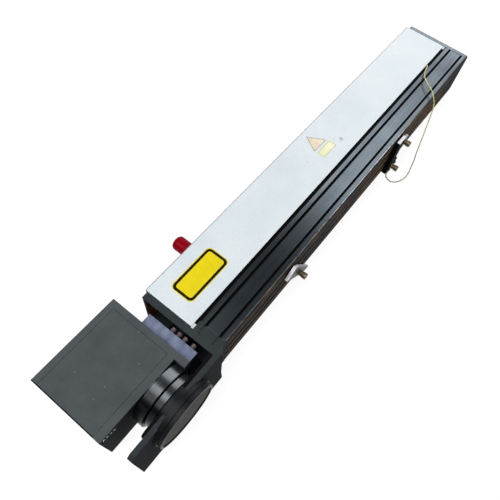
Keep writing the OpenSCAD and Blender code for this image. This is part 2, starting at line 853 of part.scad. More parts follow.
module galvo_block() {
    half = motor_r + block_wall;
    top = lens_z + half;
    color("#7d8388") difference() {
        union() {
            slab([lens_x - half, motor_x_y, beam_z - half], [mount_x0, motor_x_y + motor_seat, beam_z + half]);
            slab([motor_y_x - motor_seat, box_deck_y, lens_z - half], [motor_y_x, beam_y + half, top]);
            slab([motor_y_x - motor_seat, box_deck_y, box_wall], [motor_y_x, beam_y + half, lens_z - half + eps]);
            slab([motor_y_x - motor_seat, motor_x_y, box_wall], [lens_x - half + eps, motor_x_y + motor_seat, beam_z + half]);
        }
        rod_y(motor_r + fit, motor_x_y - eps, motor_x_y + motor_seat + eps, lens_x, beam_z);
        rod_x(motor_r + fit, motor_y_x - motor_seat - eps, motor_y_x + eps, beam_y, lens_z);
    }
}

// A motor body along z with its shaft bore open at 0
module motor() {
    cap_r = motor_r - 2;
    cap_l2 = 8;
    difference() {
        union() {
            cylinder(r = motor_r, h = motor_l);
            translate([0, 0, motor_l - eps]) cylinder(r = cap_r, h = cap_l2);
        }
        translate([0, 0, -eps]) cylinder(r = shaft_r + shaft_fit, h = shaft_in + 0.3);
    }
}

// A rotor along z: the shaft goes into the motor and the hub carries the mirror below it
module rotor(reach) {
    difference() {
        union() {
            translate([0, 0, -reach]) cylinder(r = shaft_r, h = reach + shaft_in);
            translate([0, 0, -reach]) cylinder(r = hub_r, h = hub_l);
        }
        translate([0, 0, -reach - eps]) mirror_slot();
    }
}

module mirror_slot() {
    translate([-mirror_t / 2 - fit, -hub_r - 1, -1]) cube([mirror_t + 2 * fit, 2 * hub_r + 2, hub_l * 0.6 + 1]);
}

// A mirror plate below a rotor's hub, with its free end narrowed
module mirror_plate(half, l) {
    nose = half * 0.45;
    lead = hub_l * 0.6;
    rotate([0, -90, 0]) translate([0, 0, -mirror_t / 2]) linear_extrude(mirror_t)
        polygon([
            [lead - fit, -hub_r], [lead - fit, hub_r], [0, hub_r], [-2, half], [2 - l + lead + nose, half],
            [lead - l, half - nose], [lead - l, nose - half], [2 - l + lead + nose, -half], [-2, -half], [0, -hub_r]
        ]);
}

// Puts a shape drawn along z on the first motor's axis, with the mirror's face towards the beam
module on_x_axis() {
    translate([lens_x, motor_x_y, beam_z]) rotate([-90, 0, 0]) rotate([0, 0, 45]) children();
}

module on_y_axis() {
    translate([motor_y_x, beam_y, lens_z]) rotate([0, -90, 0]) rotate([0, 0, 45]) children();
}

module galvo_x_motor() {
    color("#2b2d30") on_x_axis() motor();
}

module galvo_y_motor() {
    color("#2b2d30") on_y_axis() motor();
}

module galvo_x_rotor() {
    color("#b0b4b8") on_x_axis() rotor(x_reach);
}

module galvo_y_rotor() {
    color("#b0b4b8") on_y_axis() rotor(y_reach);
}

module galvo_x_mirror() {
    color("#e3e8ee") on_x_axis() translate([0, 0, -x_reach]) mirror_plate(mirror_x_half, mirror_x_l);
}

module galvo_y_mirror() {
    color("#e3e8ee") on_y_axis() translate([0, 0, -y_reach]) mirror_plate(mirror_y_half, mirror_y_l);
}

module driver_boards() {
    board_z = box_h - box_wall - board_gap;
    margin = 8;
    color("#1f5b3a") for (z = [board_z - board_pitch, board_z])
        slab([box_x0 + box_wall, box_roof_y - board_w, z], [mount_x0 - margin, box_roof_y, z + board_t]);
}

// ---------- lens ----------

module lens_barrel() {
    bore_r = thread_r - 4;
    wide_r = glass_r + 2;
    color("#0b0c0d") turned_y(lens_x, lens_z) difference() {
        union() {
            span([0, box_y0 - eps], [thread_r - fit, box_deck_y - 1]);
            span([0, neck_y - eps], [neck_r, box_y0]);
            ring_profile(0, barrel_r, barrel_y, neck_y, ring_bevel);
        }
        span([-1, barrel_y - 1], [bore_r, box_deck_y]);
        span([-1, barrel_y - 1], [wide_r, neck_y - 4]);
    }
}

module lens_front_ring() {
    spigot_l = 6;
    color("#101112") turned_y(lens_x, lens_z) difference() {
        union() {
            ring_profile(0, front_r, front_y, barrel_y, ring_bevel);
            span([0, barrel_y - ring_bevel], [glass_r + 2 - fit, barrel_y + spigot_l]);
        }
        span([-1, front_y - 1], [glass_r, barrel_y + spigot_l + 1]);
    }
}

// A biconvex or meniscus glass: a disc cut by two balls
module glass(r, y0, y1, bulge) {
    ball = (r * r + bulge * bulge) / (2 * bulge);
    intersection() {
        rod_y(r, y0, y1, lens_x, lens_z);
        translate([lens_x, y1 - ball, lens_z]) sphere(r = ball, $fn = 160);
    }
}

module lens_rear_glass() {
    color("#9db4c8") glass(thread_r - 4 - fit, neck_y - 2, neck_y - 2 + rear_glass_t, rear_glass_bulge);
}

module lens_front_glass() {
    color("#8fa8c0") glass(glass_r - fit, front_y + glass_seat, front_y + glass_seat + front_glass_t, front_glass_bulge);
}

// ---------- nose ----------

module nose_screw_holes() {
    for (z = nose_screw_zs) rod_y(screw_r + fit, -eps, cap_floor - 1.5, nose_screw_x, z);
}

module nose_deck() {
    color("#303437") difference() {
        along_y(deck_y0, deck_y1) difference() {
            union() {
                translate([-deck_l, 0]) round_rect(deck_l, housing_h, deck_r);
                span([-deck_r - 1, 0], [0, housing_h]);
            }
        }
        rod_y(nose_bore_r, deck_y0 - eps, deck_y1 + eps, lens_x, lens_z);
    }
}

// A sheet that closes the gap behind the adapter plate, between the front cap and the mount plate
module gap_shield() {
    color("#17181a") slab([adapter_x0, deck_y1, 0], [0, deck_y1 + shield_w, shield_t]);
}

module nose_plan() {
    polygon([
        [-nose_l, 0], [tongue_l, 0], [tongue_l, housing_h],
        [nose_chamfer - nose_l, housing_h], [-nose_l, housing_h - nose_chamfer]
    ]);
}

module nose_side() {
    polygon([
        [-nose_l, deck_y0], [0, deck_y0], [0, 0], [tongue_l, 0], [tongue_l, -1],
        [3, 3 - nose_low_back], [3, -nose_low_back - 1], [-nose_l, -nose_low_back - 1]
    ]);
}

module nose_wedge() {
    polygon([[deck_y0, 0], [deck_y0, housing_h], [-nose_low_front, housing_h], [-nose_low_back, 0]]);
}

module nose_plate() {
    color("#35383a") difference() {
        intersection() {
            along_y(-nose_low_back - 1, deck_y0) nose_plan();
            linear_extrude(housing_h) nose_side();
            along_x(-nose_l, tongue_l) nose_wedge();
        }
        rod_y(nose_bore_r, -nose_low_back - 2, deck_y0 + eps, lens_x, lens_z);
        rod_y(ring_r + fit, -nose_low_back - 2, -ring_seat, lens_x, lens_z);
        for (z = nose_screw_zs) {
            rod_y(screw_r + fit, -nose_low_back, eps, nose_screw_x, z);
            rod_y(screw_head_r + 0.4, -nose_low_back, -screw_head_h + 2, nose_screw_x, z);
        }
    }
}

module nose_screws() {
    color("#1a1b1c") for (z = nose_screw_zs)
        translate([nose_screw_x, -screw_head_h + 2, z]) rotate([-90, 0, 0])
            cap_screw(screw_r, screw_head_h - 2 + cap_floor - 2, screw_head_r, 2);
}

module window_ring() {
    seal_y = window_y + window_t + seal_low_t;
    half = (ring_low + ring_seat) / 2;
    color("#0d0f10") turned_y(lens_x, lens_z) difference() {
        union() {
            span([nose_bore_r, -half], [ring_r, -ring_seat]);
            ring_profile(nose_bore_r, ring_r - ring_step, -ring_low, -half + eps, 0.8);
        }
        span([0, -ring_low - 1], [window_r + fit, seal_y]);
    }
}

module window_seal() {
    seal_y = window_y + window_t;
    color("#b03a1e") turned_y(lens_x, lens_z) span([nose_bore_r + 1, seal_y], [window_r, seal_y + seal_low_t]);
}

module window_glass() {
    color("#a9aca8") rod_y(window_r, window_y, window_y + window_t, lens_x, lens_z);
}

// ---------- clamps ----------

// A clamp bolt whose collar seats at y = seat and whose shank reaches y = end
module clamp_bolt_at(x, z, seat, end) {
    collar_r = bolt_head_r - 0.7;
    translate([x, seat, z]) rotate([-90, 0, 0]) union() {
        translate([0, 0, -bolt_collar_h]) cylinder(r = collar_r, h = bolt_collar_h);
        translate([0, 0, -bolt_collar_h]) cap_screw(bolt_r, end - seat + bolt_collar_h, bolt_head_r, bolt_head_h);
    }
}

module clamp_nut_at(x, z) {
    difference() {
        slab([x - nut_l / 2, nut_y0, z - nut_w / 2], [x + nut_l / 2, nut_y0 + nut_t, z + nut_w / 2]);
        rod_y(bolt_r + fit, nut_y0 - eps, nut_y0 + nut_t + eps, x, z);
    }
}

// The claw's outline round its bolt: a wide end towards the lid and a foot that is cut level
module clamp_plan() {
    side = clamp_w * 0.24;
    lean = clamp_w * 0.48;
    drop = clamp_z - clamp_foot;
    intersection() {
        rotate(clamp_turn) span([-side, -clamp_reach], [clamp_w - side, clamp_reach]);
        rotate(clamp_turn - clamp_taper) span([-clamp_reach, -clamp_reach], [lean, 2 * clamp_reach]);
        span([-2 * clamp_reach, -drop], [2 * clamp_reach, 2 * clamp_reach]);
    }
}

module clamp_claw() {
    color("#b9b8bf") difference() {
        union() {
            along_y(clamp_seat, clamp_face) translate([clamp_x, clamp_z]) clamp_plan();
            rod_y(clamp_boss_r, clamp_face - eps, -clamp_gap, clamp_x, clamp_z);
        }
        rod_y(bolt_r + fit, clamp_seat - eps, eps, clamp_x, clamp_z);
    }
}

module clamp_bolt() {
    color("#8a7a4c") clamp_bolt_at(clamp_x, clamp_z, clamp_seat, nut_y0 + nut_t);
}

module clamp_nut() {
    color("#9a9ea2") clamp_nut_at(clamp_x, clamp_z);
}

module bracket_plan() {
    z1 = housing_h - 4;
    difference() {
        union() {
            span([bracket_x, 1], [bracket_x + bracket_w, z1]);
            span([bracket_x, 1], [bracket_x + bracket_foot_w, bracket_foot_h]);
            span([bracket_x, 1], [bracket_x + bracket_w + bracket_arch_r, bracket_foot_h + bracket_arch_r]);
        }
        translate([bracket_x + bracket_w + bracket_arch_r, bracket_foot_h + bracket_arch_r])
            circle(bracket_arch_r);
    }
}

module bracket_bar() {
    color("#121314") difference() {
        along_y(-bracket_t, 0) bracket_plan();
        rod_y(bolt_r + fit, -bracket_t - eps, eps, bracket_bolt_x, bracket_bolt_z);
        rod_y(screw_r * 0.8 + fit, -bracket_t - eps, -2, bracket_screw_x, bracket_bolt_z);
    }
}

module bracket_claw() {
    color("#d5d3da") difference() {
        slab([claw_x, -claw_t, claw_z1 - claw_h], [claw_x + claw_w, 0, claw_z1]);
        rod_y(bolt_r + fit, -claw_t - eps, eps, claw_x + claw_w / 2, clamp_slot_zs[1]);
    }
}

module bracket_bolts() {
    color("#7d7046") {
        clamp_bolt_at(claw_x + claw_w / 2, clamp_slot_zs[1], -claw_t, nut_y0 + nut_t);
        clamp_bolt_at(bracket_bolt_x, bracket_bolt_z, -bracket_t - lug_t, slot_first_y / 2);
        translate([bracket_screw_x, -bracket_t, bracket_bolt_z]) rotate([-90, 0, 0])
            cap_screw(screw_r * 0.8, bracket_t - 3, screw_r * 1.5, 3);
    }
}

module bracket_nut() {
    color("#9a9ea2") clamp_nut_at(claw_x + claw_w / 2, clamp_slot_zs[1]);
}

// ---------- earth wire ----------

module earth_lug() {
    barrel = 1.8;
    from = 8;
    turn = 16;
    color("#c9b27c") difference() {
        union() {
            rod_y(bolt_head_r, -bracket_t - lug_t, -bracket_t, bracket_bolt_x, bracket_bolt_z);
            translate([bracket_bolt_x, -bracket_t - barrel, bracket_bolt_z]) rotate([0, -90 - turn, 0])
                translate([0, 0, from]) cylinder(r = barrel, h = lug_l - from);
            translate([bracket_bolt_x, -bracket_t, bracket_bolt_z]) rotate([0, -90 - turn, 0])
                translate([-barrel, -lug_t, 0]) cube([2 * barrel, lug_t, from + 1]);
        }
        rod_y(bolt_r + fit, -bracket_t - lug_t - eps, -bracket_t + eps, bracket_bolt_x, bracket_bolt_z);
    }
}

module wire_grommet() {
    color("#1a1b1c") difference() {
        rod_z(wire_r * 2, strip_z, lid_in, wire_points[0][0], wire_points[0][1]);
        rod_z(wire_r + 0.2, strip_z - eps, lid_in + eps, wire_points[0][0], wire_points[0][1]);
    }
}

function spline(a, b, c, d, t) =
    0.5 * (2 * b + (c - a) * t + (2 * a - 5 * b + 4 * c - d) * t * t + (3 * b - a - 3 * c + d) * t * t * t);

function route(points, steps) =
    let (n = len(points) - 1)
    concat([for (i = [0:n - 1], s = [0:steps - 1])
        spline(points[max(i - 1, 0)], points[i], points[i + 1], points[min(i + 2, n)], s / steps)],
        [points[n]]);

function unit(v) = v / norm(v);

function heading(line, i) = unit(line[min(i + 1, len(line) - 1)] - line[max(i - 1, 0)]);

// One sideways direction per ring, carried along the line so that the tube doesn't twist
function sideways(line, i, last) =
    let (h = heading(line, i), s = unit(last - h * (last * h)))
    i == len(line) - 1 ? [s] : concat([s], sideways(line, i + 1, s));

module swept_tube(line, r, sides) {
    side = sideways(line, 0, [1, 0, 0]);
    rings = [for (i = [0:len(line) - 1], k = [0:sides - 1])
        let (a = 360 * k / sides, h = heading(line, i))
        line[i] + r * (cos(a) * side[i] + sin(a) * cross(h, side[i]))];
    n = len(line);
    walls = [for (i = [0:n - 2], k = [0:sides - 1])
        let (m = (k + 1) % sides)
        [i * sides + k, i * sides + m, (i + 1) * sides + m, (i + 1) * sides + k]];
    ends = [[for (k = [sides - 1:-1:0]) k], [for (k = [0:sides - 1]) (n - 1) * sides + k]];
    polyhedron(rings, concat(walls, ends));
}

module earth_wire() {
    color("#b8c45a") swept_tube(route(wire_points, wire_steps), wire_r, wire_sides);
}

// ---------- assembly ----------

module placed() {
    translate([-housing_l / 2, -housing_w / 2, 0]) children();
}

placed() base_extrusion();
placed() front_cap();
placed() front_cap_screws();
placed() rear_cap();
placed() rear_cap_screws();
placed() lid();
placed() lid_seals();
placed() lid_end_blocks();
placed() lid_bracket();
placed() lid_screw();
placed() lamp_base();
placed() lamp_lens();
placed() lamp_bulb();
placed() optical_rail();
placed() pump_chamber();
placed() laser_rod();
placed() q_switch();
placed() mirror_mounts();
placed() cavity_mirrors();
placed() beam_expander();
placed() shutter_solenoid();
placed() shutter_flag();
placed() beam_tube();
placed() adapter_plate();
placed() adapter_screws();
placed() scanner_mount_plate();
placed() scanner_top_plate();
placed() scanner_base_plate();
placed() scanner_cover();
placed() scanner_end_plate();
placed() scanner_screws();
placed() galvo_block();
placed() galvo_x_motor();
placed() galvo_y_motor();
placed() galvo_x_rotor();
placed() galvo_x_mirror();
placed() galvo_y_rotor();
placed() galvo_y_mirror();
placed() driver_boards();
placed() lens_barrel();
placed() lens_front_ring();
placed() lens_rear_glass();
placed() lens_front_glass();
placed() nose_deck();
placed() gap_shield();
placed() nose_plate();
placed() nose_screws();
placed() window_ring();
placed() window_seal();
placed() window_glass();
placed() clamp_claw();
placed() clamp_bolt();
placed() clamp_nut();
placed() bracket_bar();
placed() bracket_claw();
placed() bracket_bolts();
placed() bracket_nut();
placed() wire_grommet();
placed() earth_lug();
placed() earth_wire();
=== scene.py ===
import bpy
import math
from mathutils import Matrix, Vector


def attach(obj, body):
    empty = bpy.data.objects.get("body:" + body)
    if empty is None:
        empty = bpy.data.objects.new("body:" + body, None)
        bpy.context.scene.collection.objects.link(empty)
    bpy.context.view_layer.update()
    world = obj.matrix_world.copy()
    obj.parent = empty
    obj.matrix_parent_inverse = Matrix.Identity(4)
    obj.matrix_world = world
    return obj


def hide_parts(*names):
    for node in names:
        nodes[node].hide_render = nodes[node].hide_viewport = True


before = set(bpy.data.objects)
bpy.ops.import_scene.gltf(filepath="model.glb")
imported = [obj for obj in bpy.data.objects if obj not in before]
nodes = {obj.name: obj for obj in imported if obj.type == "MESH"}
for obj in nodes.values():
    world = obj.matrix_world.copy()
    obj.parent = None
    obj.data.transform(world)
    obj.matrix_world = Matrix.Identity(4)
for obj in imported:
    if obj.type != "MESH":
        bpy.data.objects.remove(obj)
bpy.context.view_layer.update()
scene = bpy.context.scene


# ---- Camera ---------------------------------------------------------------------------------
# It looks down on the head from over its front left corner, so that the scan head is near and
# the rear cap is far, through a plain 35 mm lens.

eye = Vector((-0.63915, -0.21373, 0.87587))
right = Vector((0.61512314, -0.78507325, 0.07268778))
down = Vector((-0.67326407, -0.57101064, -0.46974711))
ahead = Vector((0.41029138, 0.24001425, -0.87980347))
camera_data = bpy.data.cameras.new("studio_camera")
camera_data.lens = 35.19
camera_data.sensor_width = 36.0
camera = bpy.data.objects.new("studio_camera", camera_data)
scene.collection.objects.link(camera)
turn = Matrix((right, -down, -ahead)).transposed().to_4x4()
camera.matrix_world = Matrix.Translation(eye) @ turn
scene.camera = camera


# ---- Base extrusion -------------------------------------------------------------------------
# An extruded aluminium profile, black anodised, with T-slots on three sides. The die leaves
# fine lines along it, and its long edge is rubbed bright where hands slide the head about. The
# rear cap, screwed on its end, has the same finish.

# length and width in mm
housing_l, housing_w = 936.0, 158.0


def paint(code):
    """A colour written as sRGB hex, in the linear values that a shader takes."""
    parts = [int(code[i:i + 2], 16) / 255.0 for i in (1, 3, 5)]
    return (*(p / 12.92 if p <= 0.04045 else ((p + 0.055) / 1.055) ** 2.4 for p in parts), 1.0)


def join(finish, source, socket):
    """Joins a socket to a node's first output, or to the output that a (node, name) pair says."""
    node, output = source if isinstance(source, tuple) else (source, 0)
    finish.node_tree.links.new(node.outputs[output], socket)


def add(finish, kind, settings=None, links=None):
    """Adds one node to a finish, sets its values and joins its inputs to earlier nodes.

    A value written as hex is painted. The stops of a colour ramp are (place, hex) pairs.
    """
    made = finish.node_tree.nodes.new("ShaderNode" + kind)
    for key, value in (settings or {}).items():
        if key == "stops":
            stops = made.color_ramp.elements
            while len(stops) > 1:
                stops.remove(stops[-1])
            stops[0].position, stops[0].color = value[0][0], paint(value[0][1])
            for at, code in value[1:]:
                stops.new(at).color = paint(code)
        elif isinstance(key, int) or key in made.inputs:
            made.inputs[key].default_value = paint(value) if isinstance(value, str) else value
        else:
            setattr(made, key, value)
    for key, source in (links or {}).items():
        join(finish, source, made.inputs[key])
    return made


def finish_of(name):
    """A new finish with its shader ready, and the places on the piece that wears it."""
    finish = bpy.data.materials.new(name)
    finish.use_nodes = True
    return finish, (add(finish, "TexCoord"), "Object")


def shade(finish, values, links):
    """Sets the plain values of a finish's shader and joins the rest."""
    shader = finish.node_tree.nodes["Principled BSDF"]
    for key, value in values.items():
        shader.inputs[key].default_value = value
    for key, source in links.items():
        join(finish, source, shader.inputs[key])


def zone(finish, *edges):
    """A mask that is 1 where every value has passed from its first limit to its second.

    The limits of a place are in metres, in the frame.
    """
    mask = None
    for value, outside, inside in edges:
        passed = add(finish, "MapRange", {"From Min": outside, "From Max": inside},
                     {"Value": value})
        mask = passed if mask is None else add(finish, "Math", {"operation": "MULTIPLY"},
                                               {0: mask, 1: passed})
    return mask


def along_axes(finish, source):
    """The three parts of a place or a direction, along the axes of the frame."""
    parts = add(finish, "SeparateXYZ", {}, {0: source})
    return (parts, "X"), (parts, "Y"), (parts, "Z")


def facing_of(finish):
    """How far the surface faces along each axis."""
    return along_axes(finish, (add(finish, "NewGeometry"), "Normal"))


def dress(finish, *names):
    """Gives CAD pieces their finish."""
    for name in names:
        mesh = nodes[name].data
        mesh.materials.clear()
        mesh.materials.append(finish)


soft_samples = 6     # rays that round an edge off

# Black anodised extrusion: a dyed oxide film on metal, satin, with lengthwise die lines 0.8 mm
# apart that are drawn coarser than the real ones so that they show.
extruded, place = finish_of("black_anodised_extruded_aluminium")
x_at, y_at, z_at = along_axes(extruded, place)
y_facing, z_facing = facing_of(extruded)[1:]
die_space = add(extruded, "Mapping", {"Scale": (6.0, 1250.0, 1250.0)}, {"Vector": place})
die_lines = add(extruded, "TexNoise", {"Scale": 1.0, "Detail": 3.0}, {"Vector": die_space})
cloud = add(extruded, "TexNoise", {"Scale": 14.0, "Detail": 6.0, "Roughness": 0.6},
            {"Vector": place})
body = add(extruded, "ValToRGB", {"stops": [(0.3, "#6b757d"), (0.5, "#768088"), (0.7, "#818a8e")]},
           {"Fac": cloud})
lines = add(extruded, "ValToRGB", {"stops": [(0.3, "#c4c4c4"), (0.7, "#ffffff")]},
            {"Fac": die_lines})
# the bar is painted palest in the middle of its length
lengthwise = zone(extruded, (x_at, -housing_l / 2000.0, housing_l / 2000.0))
lengthwise_tone = add(extruded, "ValToRGB",
          {"stops": [(0.24, "#d2d2d2"), (0.42, "#fdfdfd"), (0.62, "#f6f6f6"), (0.8, "#dcdcdc"),
                     (0.95, "#e0e0e0"), (0.99, "#ffffff")]}, {"Fac": lengthwise})
# broad stripes of 6 mm, from the die's wear
stripe_space = add(extruded, "Mapping", {"Scale": (2.0, 170.0, 170.0)}, {"Vector": place})
stripe = add(extruded, "TexNoise", {"Scale": 1.0, "Detail": 2.0}, {"Vector": stripe_space})
stripes = add(extruded, "ValToRGB", {"stops": [(0.3, "#d8d8da"), (0.7, "#ffffff")]},
              {"Fac": stripe})
for share, pattern in ((0.35, lines), (1.0, lengthwise_tone), (1.0, stripes)):
    body = add(extruded, "MixRGB", {"blend_type": "MULTIPLY", "Fac": share},
               {"Color1": body, "Color2": pattern})
# painted shade: the strip by the long edge is darkened, most of all near the rear cap
grime = add(extruded, "ValToRGB",
            {"stops": [(0.35, "#000000"), (0.5, "#bcbcbc"), (0.84, "#bcbcbc"), (0.94, "#fafafa")]},
            {"Fac": lengthwise})
outer = zone(extruded, (y_at, -0.0725, -0.0768))
painted_edge_shade = add(extruded, "Math", {"operation": "MULTIPLY"}, {0: outer, 1: grime})
body = add(extruded, "MixRGB", {"Color2": "#1a1c1e"}, {"Fac": painted_edge_shade, "Color1": body})
# the round of the long edge is where the normal lies between upwards and sideways, and short
# scratches have rubbed it bare on the part that hands hold
scratch_space = add(extruded, "Mapping", {"Scale": (70.0, 900.0, 900.0)}, {"Vector": place})
scratch = add(extruded, "TexNoise", {"Scale": 1.0, "Detail": 6.0, "Roughness": 0.7},
              {"Vector": scratch_space})
leaning = add(extruded, "Math", {"operation": "MULTIPLY"}, {0: y_facing, 1: z_facing})
bare = zone(extruded, (leaning, -0.1, -0.3), (x_at, 0.22, 0.08), (scratch, 0.4, 0.52))
edged = add(extruded, "MixRGB", {"Color2": "#c5ccd0"}, {"Fac": bare, "Color1": body})
# painted shade and painted reflection: the clamp side, below the round, is painted dark brown
under = zone(extruded, (y_facing, -0.42, -0.66))
underside_noise = add(extruded, "TexNoise", {"Scale": 9.0, "Detail": 7.0, "Roughness": 0.65},
           {"Vector": place})
painted_brown_reflection = add(extruded, "ValToRGB", {"stops": [(0.4, "#151311"), (0.5, "#32271d"), (0.6, "#75593a")]},
            {"Fac": underside_noise})
clad = add(extruded, "MixRGB", {}, {"Fac": under, "Color1": edged, "Color2": painted_brown_reflection})
# painted shade: the T-slots below their mouths and the lip beside the lid are painted black
slot_shade = zone(extruded, (z_at, 0.1058, 0.1052), (z_at, 0.092, 0.0975), (y_at, -0.0775, -0.0765))
lip_shade = zone(extruded, (y_at, -0.0245, -0.0239), (y_at, -0.02, -0.021), (x_at, 0.4569, 0.4567))
black = add(extruded, "Math", {"operation": "MAXIMUM"}, {0: slot_shade, 1: lip_shade})
full = add(extruded, "MixRGB", {"Color2": "#0a0b0c"}, {"Fac": black, "Color1": clad})
# the painted shade and the clamp side's painted reflection are duller than the film, and no metal
# shows through them
painted_dark_zones = add(extruded, "Math", {"operation": "MAXIMUM"}, {0: black, 1: under})
gloss = add(extruded, "MapRange", {"To Min": 0.22, "To Max": 0.27}, {"Value": die_lines})
dull = add(extruded, "Math", {"operation": "MULTIPLY_ADD", 1: 0.5}, {0: painted_dark_zones, 2: gloss})
metal = add(extruded, "MapRange", {"To Min": 0.9, "To Max": 0.0}, {"Value": painted_dark_zones})
soft = add(extruded, "Bevel", {"samples": soft_samples, "Radius": 0.0003})
bump = add(extruded, "Bump", {"Strength": 0.025, "Distance": 0.0003},
           {"Height": die_lines, "Normal": soft})
shade(extruded, {"Specular IOR Level": 0.1},
      {"Base Color": full, "Roughness": dull, "Metallic": metal, "Normal": bump})
dress(extruded, "base_extrusion", "rear_cap")


# ---- Scanner case, front cap and nose plate -------------------------------------------------
# Milled aluminium blocks and plates, bead blasted and anodised dark grey. The scanner's plates
# are screwed together round its cover, and the front cap is held by socket screws in the
# extrusion's channels.

def surface(finish, values, colour, gloss, relief=None):
    """Shades a finish whose roughness follows one pattern and whose relief follows another.

    gloss is (least, most, pattern). relief is (strength, metres, pattern) and, where the edges
    are softened, their softened normal.
    """
    least, most, pattern = gloss
    links = {"Base Color": colour, "Roughness": add(
        finish, "MapRange", {"To Min": least, "To Max": most}, {"Value": pattern})}
    if relief:
        strength, metres, pattern, *normal = relief
        below = {"Normal": normal[0]} if normal else {}
        links["Normal"] = add(finish, "Bump", {"Strength": strength, "Distance": metres},
                              {"Height": pattern, **below})
    shade(finish, values, links)


def corner_light(finish, radius):
    """A softened normal, and a mask that is 1 on the edges, where it leaves the true one."""
    soft = add(finish, "Bevel", {"samples": soft_samples, "Radius": radius})
    same = add(finish, "VectorMath", {"operation": "DOT_PRODUCT"},
               {0: soft, 1: (add(finish, "NewGeometry"), "Normal")})
    return soft, zone(finish, ((same, "Value"), 0.99, 0.8))


def redyed(finish, name, codes):
    """A copy of a finish, with other colours in the ramp that has as many stops."""
    made = finish.copy()
    made.name = name
    for node in made.node_tree.nodes:
        if node.bl_idname == "ShaderNodeValToRGB" and len(node.color_ramp.elements) == len(codes):
            for stop, code in zip(node.color_ramp.elements, codes):
                stop.color = paint(code)
    return made


def lay_over(finish, mask, code):
    """Lays one colour over a finish wherever the mask is 1."""
    below = finish.node_tree.nodes["Principled BSDF"].inputs["Base Color"].links[0].from_node
    over = add(finish, "MixRGB", {"Color2": code}, {"Fac": mask, "Color1": below})
    shade(finish, {}, {"Base Color": over})


# Bead-blasted anodised aluminium: matt, with a grain that is drawn 1.1 mm wide, coarser than the
# real one so that it shows, pale dust specks and corners where the dye has thinned.
blasted, place = finish_of("bead_blasted_anodised_aluminium")
cloud = add(blasted, "TexNoise", {"Scale": 22.0, "Detail": 7.0, "Roughness": 0.62},
            {"Vector": place})
tone = add(blasted, "ValToRGB", {"stops": [(0.28, "#4a4f52"), (0.5, "#515659"), (0.74, "#585c5f")]},
           {"Fac": cloud})
grain = add(blasted, "TexNoise", {"Scale": 900.0, "Detail": 2.0}, {"Vector": place})
grain_tone = add(blasted, "ValToRGB", {"stops": [(0.3, "#cfcfcf"), (0.7, "#ffffff")]},
                 {"Fac": grain})
body = add(blasted, "MixRGB", {"blend_type": "MULTIPLY", "Fac": 0.5},
           {"Color1": tone, "Color2": grain_tone})
cells = add(blasted, "TexVoronoi", {"Scale": 55.0}, {"Vector": place})
speck = add(blasted, "MapRange", {"From Min": 0.055, "From Max": 0.03}, {"Value": cells})
dusted = add(blasted, "MixRGB", {"Color2": "#8c8f86"}, {"Fac": speck, "Color1": body})
soft, edge = corner_light(blasted, 0.0009)
wear = add(blasted, "TexNoise", {"Scale": 160.0, "Detail": 6.0}, {"Vector": place})
patchy = add(blasted, "MapRange", {"From Min": 0.42, "From Max": 0.7, "To Max": 0.65},
             {"Value": wear})
bare = add(blasted, "Math", {"operation": "MULTIPLY", "use_clamp": True}, {0: edge, 1: patchy})
edged = add(blasted, "MixRGB", {"Color2": "#7d8388"}, {"Fac": bare, "Color1": dusted})
surface(blasted, {"Specular IOR Level": 0.06}, edged, (0.68, 0.84, cloud),
        (0.1, 0.0002, grain, soft))
dress(blasted, "scanner_mount_plate", "scanner_top_plate", "scanner_base_plate", "scanner_cover")

# The same finish with more dye, on the housing's front cap and the nose plate. The far wall of the
# cap's opening carries a painted brown reflection.
cap_dye = redyed(blasted, "bead_blasted_dark_anodised_aluminium", ("#2f3437", "#373c3f", "#3f4446"))
cap_y_at = along_axes(cap_dye, (add(cap_dye, "TexCoord"), "Object"))[1]
cap_y_facing = facing_of(cap_dye)[1]
lay_over(cap_dye, zone(cap_dye, (cap_y_at, 0.06, 0.065), (cap_y_facing, -0.6, -0.9)), "#a06a34")
dress(cap_dye, "front_cap", "nose_plate")


# ---- Lid ------------------------------------------------------------------------------------
# Folded sheet, coated pale silver-blue. It is hooked over the two walls of the extrusion, and
# one quarter-turn screw holds it down. Its face is faintly clouded and marked by handling.

# Powder-coated steel: an even texture of 2.4 mm, drawn coarser than the real one so that it
# shows, with a soft gloss, small chips and grey rubs.
coated, place = finish_of("powder_coated_steel_sheet")
cloud = add(coated, "TexNoise", {"Scale": 9.0, "Detail": 8.0, "Roughness": 0.6}, {"Vector": place})
tone = add(coated, "ValToRGB", {"stops": [(0.3, "#d7e1e6"), (0.5, "#dee7eb"), (0.7, "#e4ebed")]},
           {"Fac": cloud})
mottle = add(coated, "TexNoise", {"Scale": 420.0, "Detail": 3.0}, {"Vector": place})
mottle_tone = add(coated, "ValToRGB", {"stops": [(0.32, "#eceef0"), (0.66, "#ffffff")]},
                  {"Fac": mottle})
body = add(coated, "MixRGB", {"blend_type": "MULTIPLY", "Fac": 0.8},
           {"Color1": tone, "Color2": mottle_tone})
cells = add(coated, "TexVoronoi", {"Scale": 26.0}, {"Vector": place})
speck = add(coated, "MapRange", {"From Min": 0.05, "From Max": 0.025, "To Max": 0.6},
            {"Value": cells})
marked = add(coated, "MixRGB", {"Color2": "#8e949a"}, {"Fac": speck, "Color1": body})
scuff_space = add(coated, "Mapping", {"Scale": (25.0, 260.0, 60.0), "Rotation": (0.0, 0.0, 0.5)},
                  {"Vector": place})
scuff = add(coated, "TexNoise", {"Scale": 1.0, "Detail": 7.0, "Roughness": 0.75},
            {"Vector": scuff_space})
rub = add(coated, "MapRange", {"From Min": 0.64, "From Max": 0.76, "To Max": 0.3}, {"Value": scuff})
rubbed = add(coated, "MixRGB", {"Color2": "#aab3ba"}, {"Fac": rub, "Color1": marked})
soft, edge = corner_light(coated, 0.0008)
edged = add(coated, "MixRGB", {"Color2": "#f4f7f8"}, {"Fac": edge, "Color1": rubbed})
